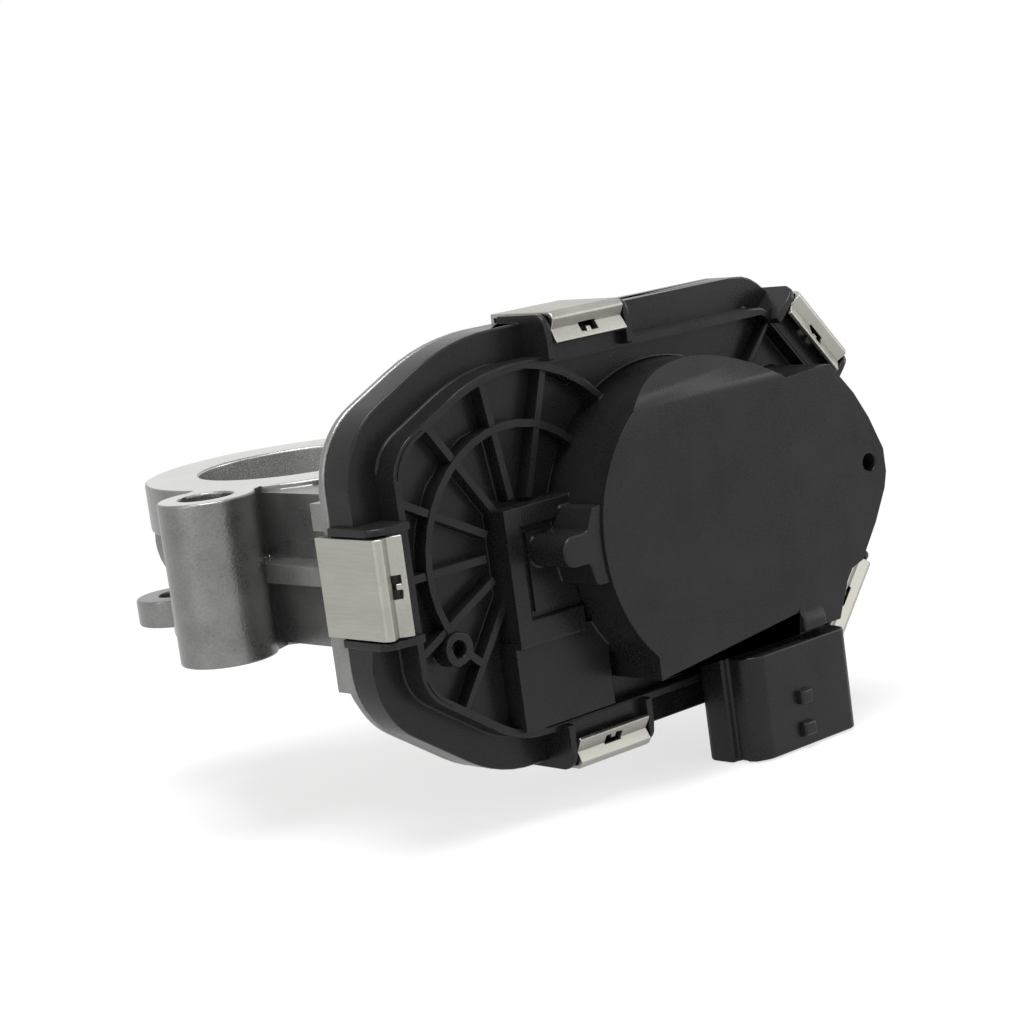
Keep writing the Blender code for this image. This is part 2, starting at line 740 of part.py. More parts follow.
def housing_bores():
    """The air bore, the shaft's bore with its bearing seats, and the motor's, pin's and screws' holes."""
    z = SHAFT_Z
    seat_r = BEARING_R + SHAFT_GAP
    seal = SEAL_LENGTH + 2 * SHAFT_GAP
    screw_r = MOTOR_SCREW_R + SHAFT_GAP
    front = BEARING_BOSS_Y - OVER
    found = [
        rod(BORE_R, -OVER, BODY_HEIGHT + OVER, (0, 0), "Z", 64),
        rod(SHAFT_R + SHAFT_GAP, front, REAR_BOSS_Y - OVER, (0, z), "Y", 32),
        rod(seat_r, FRONT_BEARING_Y + seal, front, (0, z), "Y", 32),
        rod(seat_r, REAR_BEARING_Y - BEARING_LENGTH - seal, REAR_BOSS_Y + OVER, (0, z), "Y", 32),
        rod(POCKET_R, CASE_FLOOR_Y - OVER, POCKET_END_Y, (MOTOR_X, z), "Y", 48),
        rod(GEAR_PIN_R + SHAFT_GAP, GEAR_PIN_END_Y, GEAR_FLOOR_Y - OVER, (GEAR_PIN_X, z), "Y", SMALL_ROUND),
    ]
    for side in (-1, 1):
        at = (MOTOR_X, z + side * MOTOR_EAR_Z)
        found.append(rod(screw_r, CASE_BACK_Y + OVER, CASE_FLOOR_Y - OVER, at, "Y", SMALL_ROUND))
    return found


def make_housing():
    body = join(flanged_barrel(), *case_shells(), *case_links(), *case_bosses(), *clip_seats())
    body = cut(body, *case_hollows())
    body = join(body, rod(BEARING_BOSS_R, CASE_BACK_Y + 5 * LAP, BEARING_BOSS_Y, (0, SHAFT_Z)))
    return cut(body, *housing_bores(), *bolt_holes())


# Cover


def cover_ribs():
    """Radial ribs and the two ring ribs on the sunken floor round the throttle axis, run into the rim."""
    z = SHAFT_Z
    root = COVER_FLOOR_Y + 6 * LAP
    half = RIB_WIDTH / 2
    found = []
    for radius, angles, top in (
        (RIB_RING_R, RIB_RING_ANGLES, COVER_RIB_Y),
        (RIB_OUTER_R, RIB_OUTER_ANGLES, COVER_RIB_Y - 4 * LAP),
    ):
        ring = ring_outline(radius + half, radius - half, *angles)
        found.append(sheet(shifted(ring, 0, z), root, top))
    for i in range(RIB_COUNT):
        rib = block((RIB_HUB_R, COVER_RIB_Y + 2 * LAP, -half), (RIB_OUTER_R, root - 2 * LAP, half))
        turn = Matrix.Rotation(math.radians(-RIB_FIRST_ANGLE - RIB_STEP_ANGLE * i), 4, "Y")
        rib.data.transform(Matrix.Translation((0, 0, z)) @ turn)
        found.append(rib)
    recess = sheet(case_outline(COVER_LEDGE + COVER_RIM / 2), root + OVER, COVER_RIB_Y - 2 * OVER)
    return combine(join(*found), [recess], "INTERSECT")


def plateau_outline():
    """The flat terminal housing: a disc that runs out to the right in a blunt nose."""
    z = SHAFT_Z
    x = PLATEAU_NOSE_X
    low = math.degrees(math.asin((PLATEAU_LOW + PLATEAU_STEP - PLATEAU_Z) / PLATEAU_R))
    disc = arc((0.0, 0.0), PLATEAU_R, 48, 180 - low, 28)
    disc = [(px, pz * PLATEAU_FLATTENED if pz > 0 else pz) for px, pz in disc]
    disc = shifted(disc, PLATEAU_X, PLATEAU_Z)
    rest = [
        (disc[-1][0], PLATEAU_LOW),
        (PLUG_RIGHT, PLATEAU_LOW),
        (x - 12.6 * MM, -17.6 * MM),
        (x - 8.8 * MM, -16.5 * MM),
        (x - 4.2 * MM, -10.6 * MM),
        (x - 0.9 * MM, -5.2 * MM),
        (x, -2.4 * MM),
        (x - 0.1 * MM, 1.8 * MM),
        (x - 3.0 * MM, 7.9 * MM),
        (x - 6.2 * MM, 12.8 * MM),
        (x - 9.8 * MM, PLATEAU_NOSE_TOP - 2 * MM),
        (x - 11.6 * MM, PLATEAU_NOSE_TOP),
        (x - 13.6 * MM, PLATEAU_NOSE_TOP),
    ]
    return shifted(disc + rest, 0, z)


def rounded_rim(obj, width):
    """Rounds the square edges of a solid."""
    edge = obj.modifiers.new("edge", "BEVEL")
    edge.width = width
    edge.segments = 2
    edge.limit_method = "ANGLE"
    edge.angle_limit = math.radians(45)
    return baked(obj)


def plateau_tab():
    """The rounded tab at the terminal housing's left, over the sensor tower."""
    inside = PLATEAU_X - PLATEAU_R / 2
    corners = [
        (TAB_LEFT, TAB_LOW),
        (TAB_ROOT_X, TAB_LOW),
        (TAB_ROOT_X + TAB_ROOT_SLANTS[0], TAB_ROOT_LOW),
        (inside, TAB_ROOT_LOW),
        (inside, TAB_ROOT_TOP),
        (TAB_ROOT_X + TAB_ROOT_SLANTS[1], TAB_ROOT_TOP),
        (TAB_ROOT_X, TAB_TOP),
        (TAB_LEFT, TAB_TOP),
    ]
    small = TAB_ROOT_ROUND
    radii = [TAB_ROUND, small, small, small, small, small, small, TAB_ROUND]
    outline = rounded(corners, radii, [6, 3, 3, 1, 1, 3, 3, 6])
    return sheet(shifted(outline, 0, SHAFT_Z), TOWER_Y + 2 * OVER, PLATEAU_Y + 5 * LAP)


def plug_outline(inset):
    """The connector's section: a main shell with a shallower step on its left."""
    corners = [
        (PLUG_LEFT, PLUG_STEP_Y),
        (PLUG_STEP_X, PLUG_STEP_Y),
        (PLUG_STEP_X, PLUG_FRONT_Y),
        (PLUG_RIGHT, PLUG_FRONT_Y),
        (PLUG_RIGHT, PLUG_BACK_Y),
        (PLUG_LEFT, PLUG_BACK_Y),
    ]
    outer = PLUG_CORNER + (PLUG_WALL - inset) / 2
    radii = [5 * LAP, 5 * LAP, PLUG_ROUND - inset, outer, outer, outer]
    return rounded(inset_corners(corners, inset), radii, [2, 2, 6, 3, 3, 3])


def connector_shell():
    """The connector's shroud with its latch nubs, and the hollow to cut from it."""
    z = SHAFT_Z
    shell = sheet(plug_outline(0.0), PLUG_MOUTH_Z + z, PLUG_TOP_Z + z, "Z")
    hollow = sheet(plug_outline(PLUG_WALL), PLUG_MOUTH_Z + z - OVER, PLUG_MOUTH_Z + z + PLUG_DEPTH, "Z")
    neck = block(
        (PLUG_LEFT + 2 * OVER, PLUG_STEP_Y + OVER, PLUG_TOP_Z + z - OVER),
        (PLUG_RIGHT - 2 * OVER, PLUG_BACK_Y - OVER, PLATEAU_LOW + z + OVER),
    )
    nubs = []
    x = PLUG_RIGHT - NUB_IN
    for rise in NUB_RISES:
        low = PLUG_MOUTH_Z + z + rise
        corner = (x + NUB_WIDTH, PLUG_FRONT_Y + OVER, low + NUB_HEIGHT)
        nubs.append(block((x, PLUG_FRONT_Y - NUB_OUT, low), corner))
    return [shell, neck, *nubs], [hollow]


def clip_guides():
    """A raised pad at each clip; the clip's pocket leaves its two ends standing as guide walls."""
    found = []
    half = CLIP_WIDTH / 2 + FIT_GAP + GUIDE_WIDTH
    front = CLIP_PAD_Y - GUIDE_RISE
    rear = CASE_FACE_Y - 2 * FIT_GAP
    corners = [(-CLIP_PAD_DEPTH, front), (GUIDE_OUT, front), (GUIDE_OUT, rear), (-CLIP_PAD_DEPTH, rear)]
    section = rounded(corners, [3 * LAP, GUIDE_ROUND, 3 * LAP, 3 * LAP], [1, 5, 1, 1])
    for station in STATIONS:
        found.append(at_station(sheet(section, -half, half, "Z"), station))
    return found


def clip_pockets():
    """Room for each clip: a notch in the pad, a lowered ledge and a flat seat on the skirt."""
    seat = CLIP_OUT - CLIP_SHEET - FIT_GAP
    outside = GUIDE_OUT + OVER
    front = CLIP_PAD_Y - GUIDE_RISE - OVER
    ledge = CLIP_PAD_Y + CLIP_SEAT + CLIP_SHOULDER
    inside = -CLIP_LIP - CLIP_LIP_ROOM
    section = [
        (inside, front),
        (outside, front),
        (outside, CASE_FACE_Y + OVER),
        (seat, CASE_FACE_Y + OVER),
        (seat, ledge),
        (-CLIP_STEP, ledge),
        (-CLIP_STEP, CLIP_PAD_Y + CLIP_SEAT),
        (inside, CLIP_PAD_Y + CLIP_SEAT),
    ]
    half = CLIP_WIDTH / 2 + FIT_GAP
    return [at_station(sheet(section, -half, half, "Z"), station) for station in STATIONS]


def tower_blocks():
    """The sensor tower: an upper block with a sunken panel and a wider foot, and the panel's plate."""
    z = SHAFT_Z
    root = COVER_FLOOR_Y + 6 * LAP
    floor = TOWER_Y + TOWER_PANEL
    left = TOWER_LEFT + TOWER_BORDER
    low = TOWER_STEP_Z + z + TOWER_BORDER
    high = TOWER_TOP + z - TOWER_BORDER
    upper = block((TOWER_LEFT, TOWER_Y, TOWER_STEP_Z + z - OVER), (TOWER_RIGHT, root, TOWER_TOP + z))
    foot = block(
        (TOWER_LEFT - 4 * LAP, TOWER_FOOT_Y, TOWER_FOOT_Z + z),
        (TOWER_FOOT_RIGHT, root - 2 * LAP, TOWER_STEP_Z + z),
    )
    panel = block((left, TOWER_Y - OVER, low), (TOWER_RIGHT + OVER, floor, high))
    gap = TOWER_PLATE_GAP
    plate = block(
        (left + gap, floor - TOWER_PLATE, low + gap),
        (TOWER_RIGHT - gap, floor + 5 * LAP, high - gap),
    )
    return cut(join(upper, foot), panel), plate


def screw_boss():
    """A small boss among the ribs, and the hole in it."""
    at = (SCREW_BOSS_X, SHAFT_Z + SCREW_BOSS_Z)
    boss = rod(SCREW_BOSS_R, COVER_FLOOR_Y + 5 * LAP, COVER_RIB_Y - 6 * LAP, at, "Y", SMALL_ROUND)
    hole = rod(SCREW_HOLE_R, COVER_FLOOR_Y - 4 * LAP, COVER_RIB_Y - 2 * OVER, at, "Y", 16)
    return boss, hole


def corner_rib():
    """The slanting rib in the cover's upper right corner."""
    half = RIB_WIDTH / 2
    reach = CORNER_RIB_LENGTH / 2
    rib = block((-reach, COVER_RIB_Y + 5 * LAP, -half), (reach, COVER_FLOOR_Y + 5 * LAP, half))
    at = Matrix.Translation((SIDE_RIGHT - CORNER_RIB_X, 0, SIDE_TOP - CORNER_RIB_Z + SHAFT_Z))
    rib.data.transform(at @ Matrix.Rotation(math.radians(-CORNER_RIB_ANGLE), 4, "Y"))
    return rib


def plateau_wedge():
    """The small wedge on the terminal housing above the connector."""
    low = PLATEAU_LOW + SHAFT_Z + 2 * LAP
    back = PLATEAU_Y + OVER
    front = PLATEAU_Y - WEDGE_OUT
    side = [(back, low), (front, low), (front, low + WEDGE_FLAT), (back, low + WEDGE_HEIGHT)]
    wedge = sheet(side, 0.0, WEDGE_WIDTH, "Z")
    wedge.data.transform(Matrix(((0, 0, 1, PLUG_RIGHT - WEDGE_IN), (1, 0, 0, 0), (0, 1, 0, 0), (0, 0, 0, 1))))
    return wedge


def make_plateau():
    """The terminal housing's solid, with its upper part sloped back and its rim rounded."""
    solid = sheet(plateau_outline(), COVER_FLOOR_Y + 2 * PLATEAU_EDGE, PLATEAU_Y)
    room = PLATEAU_SLOPE_ROOM
    slope = block((-PLATEAU_R, -room / 2, 0.0), (PLATEAU_R - room / 2, 0.0, room))
    lean = math.atan2(PLATEAU_SLOPE, PLATEAU_R * PLATEAU_FLATTENED + PLATEAU_Z - PLATEAU_SLOPE_Z)
    at = Matrix.Translation((PLATEAU_X, PLATEAU_Y, PLATEAU_SLOPE_Z + SHAFT_Z))
    slope.data.transform(at @ Matrix.Rotation(-lean, 4, "X"))
    return rounded_rim(cut(solid, slope), PLATEAU_EDGE)


def plateau_room():
    """The space under the terminal housing's roof, around the boss that steadies the gear pin."""
    z = SHAFT_Z
    roof = PLATEAU_Y + PLATEAU_ROOF
    room = rod(PLATEAU_R - PLATEAU_WALL, CASE_FACE_Y + 4 * LAP, roof, (PLATEAU_X, PLATEAU_Z + z), "Y", 40)
    return cut(room, rod(GEAR_PIN_BOSS_R, COVER_CEILING_Y, roof - OVER, (GEAR_PIN_X, z), "Y", SMALL_ROUND))


def make_cover():
    body = sheet(case_outline(0.0), CASE_FACE_Y - FIT_GAP, COVER_LEDGE_Y)
    rim = sheet(case_outline(COVER_LEDGE), COVER_LEDGE_Y + OVER, COVER_RIM_Y)
    body = join(body, rim, *clip_guides())
    body = cut(body, sheet(case_outline(COVER_LEDGE + COVER_RIM), COVER_FLOOR_Y, COVER_RIM_Y - 4 * OVER))
    tower, plate = tower_blocks()
    boss, boss_hole = screw_boss()
    shells, hollows = connector_shell()
    body = join(body, cover_ribs(), corner_rib(), tower, boss)
    body = join(body, plate)
    body = join(body, make_plateau(), plateau_tab(), *shells)
    body = join(body, plateau_wedge())
    inside = sheet(case_outline(COVER_WALL), CASE_FACE_Y + OVER, COVER_STEP_Y)
    deeper = sheet(case_outline(COVER_INNER_WALL), CASE_FACE_Y + 2 * OVER, COVER_CEILING_Y)
    hole = rod(PLATEAU_HOLE_R, PLATEAU_Y + PLATEAU_HOLE, PLATEAU_Y - OVER, (PLATEAU_HOLE_X, SHAFT_Z), "Y", 16)
    body = cut(body, *hollows, inside, deeper, plateau_room(), hole, boss_hole)
    return cut(body, *clip_pockets())


def make_gasket():
    """The rubber seal between the case face and the cover, in the cover's inner corner."""
    outer = COVER_WALL + FIT_GAP
    ring = sheet(case_outline(outer), CASE_FACE_Y - FIT_GAP, CASE_FACE_Y - GASKET_HEIGHT)
    hole = sheet(case_outline(outer + GASKET_WIDTH), CASE_FACE_Y + OVER, CASE_FACE_Y - GASKET_HEIGHT - OVER)
    return cut(ring, hole)


def clip_profile():
    """The clip's section in its station's frame, X outwards: hook, back, shoulder, seat and lip."""
    rear = CASE_FACE_Y + CASE_FLANGE + FIT_GAP
    front = CLIP_PAD_Y + CLIP_SEAT - FIT_GAP
    line = [
        (CLIP_OUT - CLIP_HOOK, rear + CLIP_SHEET),
        (CLIP_OUT, rear + CLIP_SHEET),
        *[(CLIP_OUT - across, front - rise) for across, rise in CLIP_BENDS],
        (-CLIP_LIP + CLIP_VALLEY, front - CLIP_SHEET),
        (-CLIP_LIP, front - CLIP_LIP_RISE),
    ]
    inner = []
    for i, here in enumerate(line):
        here = Vector(here)
        before = (here - Vector(line[i - 1])).normalized() if i else None
        after = (Vector(line[i + 1]) - here).normalized() if i + 1 < len(line) else None
        before, after = before or after, after or before
        normal = (Vector((before.y, -before.x)) + Vector((after.y, -after.x))).normalized()
        reach = CLIP_SHEET / max(0.5, normal.dot(Vector((before.y, -before.x))))
        inner.append(tuple(here - normal * -reach))
    return line + inner[::-1]


def make_clip(station):
    """A strip bent to the clip's section, with a small window and its tongue at the root of the lip."""
    strip = sheet(clip_profile(), -CLIP_WIDTH / 2, CLIP_WIDTH / 2, "Z")
    half = CLIP_WINDOW / 2
    tongue = CLIP_TONGUE / 2
    low = -CLIP_LIP + CLIP_LIP_EDGE
    high = low + CLIP_WINDOW_DEPTH
    window = [
        (low, -half),
        (high, -half),
        (high, half),
        (low, half),
        (low, tongue),
        ((low + high) / 2, tongue),
        ((low + high) / 2, -tongue),
        (low, -tongue),
    ]
    return at_station(cut(strip, sheet(window, CLIP_PAD_Y - 4 * OVER, CLIP_PAD_Y + 4 * OVER)), station)


def make_pin(index):
    """A connector blade standing in the shroud's floor."""
    pitch = (PLUG_RIGHT - PLUG_STEP_X - 4 * PLUG_WALL) / (PIN_COUNT - 1)
    x = PLUG_STEP_X + 2 * PLUG_WALL + pitch * index
    y = (PLUG_BACK_Y + PLUG_STEP_Y) / 2
    top = PLUG_MOUTH_Z + SHAFT_Z + PLUG_DEPTH - FIT_GAP
    wide = PIN_WIDTH / 2
    thick = PIN_THICKNESS / 2
    return block((x - wide, y - thick, top - PIN_LENGTH), (x + wide, y + thick, top))


def make_sensor_board():
    """The position sensor's board under the cover's ceiling, facing the magnet."""
    z = SHAFT_Z
    front = COVER_CEILING_Y + FIT_GAP
    back = front + BOARD_THICKNESS
    board = block((-BOARD_X, front, z - BOARD_Z), (BOARD_X, back, z + BOARD_Z))
    half = CHIP_SIZE / 2
    chip = block((-half, back - 2 * LAP, z - half), (half, back + CHIP_HEIGHT, z + half))
    return join(board, chip)


# Valve


def tilt(obj):
    """Turns a piece of the valve from level to its closed angle about the shaft."""
    at = Matrix.Translation((0, 0, SHAFT_Z))
    obj.data.transform(at @ Matrix.Rotation(math.radians(PLATE_CLOSED), 4, "Y") @ at.inverted())
    return obj


def plate_screw_holes():
    z = SHAFT_Z
    reach = SHAFT_R + OVER
    radius = PLATE_SCREW_R + SHAFT_GAP
    return [rod(radius, z - reach, z + reach, (0, side * PLATE_SCREW_Y), "Z", 16) for side in (-1, 1)]


def make_shaft():
    z = SHAFT_Z
    shaft = rod(SHAFT_R, SHAFT_REAR_Y, SHAFT_FRONT_Y, (0, z), "Y", 32)
    half = PLATE_THICKNESS / 2 + SHAFT_GAP
    slot = block((-SHAFT_R - OVER, -BORE_R, z - half), (SHAFT_R + OVER, BORE_R, z + half))
    end = BORE_R - 3 * OVER
    flat = block((-SHAFT_R, -end, z + SHAFT_R - SHAFT_FLAT), (SHAFT_R, end, z + SHAFT_R + OVER))
    return tilt(cut(shaft, slot, flat, *plate_screw_holes()))


def make_plate():
    z = SHAFT_Z
    half = PLATE_THICKNESS / 2
    lean = math.radians(PLATE_CLOSED)
    across = BORE_R - 2 * FIT_GAP
    along = (BORE_R - 2 * FIT_GAP) / math.cos(lean) - half * math.tan(lean)
    plate = rod(across, z - half, z + half, (0, 0), "Z", 64)
    plate.data.transform(Matrix.Diagonal((along / across, 1.0, 1.0, 1.0)))
    return tilt(cut(plate, *plate_screw_holes()))


def make_plate_screw(side):
    z = SHAFT_Z
    y = side * PLATE_SCREW_Y
    seat = z + SHAFT_R - SHAFT_FLAT + SHAFT_GAP
    top = seat + PLATE_SCREW_HEAD
    half = SCREW_SLOT / 2
    head = rod(PLATE_SCREW_HEAD_R, seat, top, (0, y), "Z", SMALL_ROUND)
    shank = rod(PLATE_SCREW_R, z - SHAFT_R + 4 * LAP, seat + 4 * LAP, (0, y), "Z", 16)
    reach = PLATE_SCREW_HEAD_R + OVER
    slot = block((-reach, y - half, top - SCREW_SLOT), (reach, y + half, top + OVER))
    return tilt(cut(join(head, shank), slot))


def tube(outer, inner, start, end, x=0.0, sides=32):
    z = SHAFT_Z
    low, high = sorted((start, end))
    hole = rod(inner, low - OVER, high + OVER, (x, z), "Y", sides)
    return cut(rod(outer, start, end, (x, z), "Y", sides), hole)


def make_sector_gear():
    """The throttle gear: a toothed sector on a hub that is pressed over the shaft's end."""
    z = SHAFT_Z
    teeth = gear_outline(COARSE_MODULE, SECTOR_TEETH, 0.0, SECTOR_FIRST_TOOTH, SECTOR_CUT)
    span = 360 / SECTOR_TEETH
    first = span * (SECTOR_FIRST_TOOTH - 0.5)
    last = first + span * SECTOR_CUT
    root_r = COARSE_MODULE * (SECTOR_TEETH / 2 - 1.2)
    web = arc((0, 0), HUB_R + 2 * OVER, last + SECTOR_SHOULDER, first + 360 - SECTOR_SHOULDER, 14)
    sector = sheet(shifted([*teeth, polar(root_r, last), *web, polar(root_r, first)], 0, z), *SECTOR_Y)
    hub = rod(HUB_R, SECTOR_Y[0] + 12 * LAP, HUB_FRONT_Y, (0, z))
    bore = rod(SHAFT_R + SHAFT_GAP, BEARING_BOSS_Y, HUB_FRONT_Y - OVER, (0, z), "Y", 32)
    return cut(join(sector, hub), bore)


def make_intermediate_gear():
    """The two-step gear that turns on the fixed pin."""
    z = SHAFT_Z
    large = gear_outline(FINE_MODULE, LARGE_TEETH, 0.0)
    small = gear_outline(COARSE_MODULE, SMALL_TEETH, 180 + 180 / SMALL_TEETH)
    large = sheet(shifted(large, GEAR_PIN_X, z), *LARGE_Y)
    small = sheet(shifted(small, GEAR_PIN_X, z), SMALL_REAR_Y, LARGE_Y[0] - OVER)
    ends = (SMALL_REAR_Y + OVER, LARGE_Y[1] - OVER)
    bore = rod(GEAR_PIN_R + SHAFT_GAP, *ends, (GEAR_PIN_X, z), "Y", SMALL_ROUND)
    return cut(join(large, small), bore)


def make_return_spring():
    """A torsion spring round the bearing boss, its legs led out sideways."""
    z = SHAFT_Z
    rise = SPRING_WIRE + SPRING_GAP
    start = CASE_FLOOR_Y - FIT_GAP - SPRING_WIRE / 2
    route = []
    for i in range(SPRING_TURNS * SPRING_POINTS + 1):
        turn = i / SPRING_POINTS
        x, up = polar(SPRING_R, 360 * turn + 90)
        route.append(Vector((x, start - rise * turn, z + up)))
    coil = list(route)
    leg = Vector((SPRING_LEG, 0, 0))
    route = [route[0] + leg, *route, route[-1] - leg]
    apart = SPRING_POINTS - 1
    least = min((a - b).length for i, a in enumerate(coil) for b in coil[i + apart:]) - SPRING_WIRE
    print(f"return_spring: least gap between turns {least / MM:.2f} mm")
    curve = bpy.data.curves.new("return_spring", "CURVE")
    curve.dimensions = "3D"
    curve.bevel_depth = SPRING_WIRE / 2
    curve.bevel_resolution = 1
    curve.use_fill_caps = True
    spline = curve.splines.new("POLY")
    spline.points.add(len(route) - 1)
    for point, co in zip(spline.points, route):
        point.co = (*co, 1.0)
    obj = bpy.data.objects.new("return_spring", curve)
    CUTTERS.objects.link(obj)
    bpy.context.view_layer.update()
    return baked(obj)


# Motor


def make_motor_can():
    z = SHAFT_Z
    front = CASE_FLOOR_Y + MOTOR_CAP
    can = rod(MOTOR_R, front, MOTOR_REAR_Y, (MOTOR_X, z))
    inside = rod(MOTOR_R - MOTOR_SHELL, front - OVER, MOTOR_REAR_Y - MOTOR_SHELL, (MOTOR_X, z))
    hole = rod(MOTOR_SHAFT_R + SHAFT_GAP, 0.0, MOTOR_REAR_Y + OVER, (MOTOR_X, z), "Y", 16)
    return cut(can, inside, hole)


def make_motor_magnet(side):
    """One half of the field magnet, an arc inside the can."""
    outer = MOTOR_R - MOTOR_SHELL - FIT_GAP
    inner = ARMATURE_R + AIR_GAP
    first = 90 - 90 * side - MAGNET_ARC / 2
    outline = shifted(ring_outline(outer, inner, first, first + MAGNET_ARC, steps=10), MOTOR_X, SHAFT_Z)
    rear = MOTOR_REAR_Y - MOTOR_SHELL - MAGNET_END
    return sheet(outline, rear - MAGNET_LENGTH, rear)


def make_armature():
    """The slotted lamination stack with its commutator, on the motor shaft."""
    z = SHAFT_Z
    rear = MOTOR_REAR_Y - MOTOR_SHELL - ARMATURE_END
    front = rear - ARMATURE_LENGTH
    half = ARMATURE_SLOT / 2
    stack = rod(ARMATURE_R, front, rear, (MOTOR_X, z), "Y", 30)
    slots = []
    for i in range(ARMATURE_SLOTS):
        slot = block((ARMATURE_CORE_R, front - OVER, -half), (ARMATURE_R + OVER, rear + OVER, half))
        turn = Matrix.Rotation(math.radians(360 * i / ARMATURE_SLOTS), 4, "Y")
        slot.data.transform(Matrix.Translation((MOTOR_X, 0, z)) @ turn)
        slots.append(slot)
    collar = rod(COMMUTATOR_R, front + OVER, front + OVER - COMMUTATOR_LENGTH, (MOTOR_X, z), "Y", SMALL_ROUND)
    bore = rod(MOTOR_SHAFT_R + SHAFT_GAP, front - COMMUTATOR_LENGTH, rear + OVER, (MOTOR_X, z), "Y", 16)
    return cut(join(cut(stack, *slots), collar), bore)


def make_motor_shaft():
    ends = (MOTOR_REAR_Y - 4 * LAP, LARGE_Y[1] - 2 * FIT_GAP)
    return rod(MOTOR_SHAFT_R, *ends, (MOTOR_X, SHAFT_Z), "Y", 16)


def make_pinion():
    phase = 180 + 180 / PINION_TEETH
    outline = shifted(gear_outline(FINE_MODULE, PINION_TEETH, phase), MOTOR_X, SHAFT_Z)
    rear, front = LARGE_Y[0] + OVER, LARGE_Y[1] - FIT_GAP
    bore = rod(MOTOR_SHAFT_R + SHAFT_GAP, rear + OVER, front - OVER, (MOTOR_X, SHAFT_Z), "Y", 16)
    return cut(sheet(outline, rear, front), bore)


def make_motor_cap():
    """The plastic brush carrier that closes the can's front."""
    rear = CASE_FLOOR_Y + MOTOR_CAP - FIT_GAP
    return tube(MOTOR_R - 4 * LAP, MOTOR_SHAFT_R + SHAFT_GAP, rear, CASE_FLOOR_Y + FIT_GAP, MOTOR_X, ROUND)


def make_brush(side):
    """A carbon brush between the brush carrier and the commutator."""
    z = SHAFT_Z
    low, high = sorted((side * (COMMUTATOR_R + FIT_GAP), side * (MOTOR_R - MOTOR_SHELL - OVER)))
    front = CASE_FLOOR_Y + MOTOR_CAP
    half = BRUSH_WIDTH / 2
    return block((MOTOR_X - half, front, z + low), (MOTOR_X + half, front + BRUSH_LENGTH, z + high))


def make_motor_plate():
    """The steel plate that holds the motor to the case floor by two ears."""
    z = SHAFT_Z
    rear = CASE_FLOOR_Y - FIT_GAP
    front = rear - MOTOR_PLATE
    disc = rod(MOTOR_R, rear, front, (MOTOR_X, z))
    wide = 0.85 * MOTOR_EAR_R
    pieces = [
        block((MOTOR_X - wide, front + LAP, z - MOTOR_EAR_Z), (MOTOR_X + wide, rear - LAP, z + MOTOR_EAR_Z)),
    ]
    holes = [rod(2 * MOTOR_SHAFT_R, rear + OVER, front - OVER, (MOTOR_X, z), "Y", SMALL_ROUND)]
    x = MOTOR_X + TERMINAL_X
    across = TERMINAL_WIDTH / 2 + TERMINAL_GAP
    thick = TERMINAL_THICKNESS / 2 + TERMINAL_GAP
    for side in (-1, 1):
        at = (MOTOR_X, z + side * MOTOR_EAR_Z)
        level = z + side * TERMINAL_Z
        pieces.append(rod(MOTOR_EAR_R, rear, front, at, "Y", SMALL_ROUND))
        holes.append(rod(MOTOR_SCREW_R + SHAFT_GAP, rear + OVER, front - OVER, at, "Y", SMALL_ROUND))
        low, high = level - thick, level + thick
        holes.append(block((x - across, front - OVER, low), (x + across, rear + OVER, high)))
    return cut(join(disc, *pieces), *holes)


def make_motor_terminal(side):
    """A blade from the brush carrier to the cover's sockets."""
    z = SHAFT_Z + side * TERMINAL_Z
    x = MOTOR_X + TERMINAL_X
    wide = TERMINAL_WIDTH / 2
    thick = TERMINAL_THICKNESS / 2
    return block((x - wide, COVER_CEILING_Y + FIT_GAP, z - thick), (x + wide, CASE_FLOOR_Y, z + thick))


def make_motor_screw(side):
    z = SHAFT_Z + side * MOTOR_EAR_Z
    seat = CASE_FLOOR_Y - 2 * FIT_GAP - MOTOR_PLATE
    top = seat - MOTOR_SCREW_HEAD
    end = top + MOTOR_SCREW_LENGTH
    head = rod(MOTOR_SCREW_HEAD_R, seat, top, (MOTOR_X, z), "Y", SMALL_ROUND)
    shank = rod(MOTOR_SCREW_R, seat - 5 * LAP, end, (MOTOR_X, z), "Y", 16)
    socket = rod(MOTOR_SCREW_SOCKET_R, top + 12 * LAP, top - OVER, (MOTOR_X, z), "Y", 6)
    return cut(join(head, shank), socket)


def make_wave_washer():
    return tube(WASHER_R, WASHER_HOLE_R, MOTOR_REAR_Y + FIT_GAP, POCKET_END_Y - FIT_GAP, MOTOR_X)


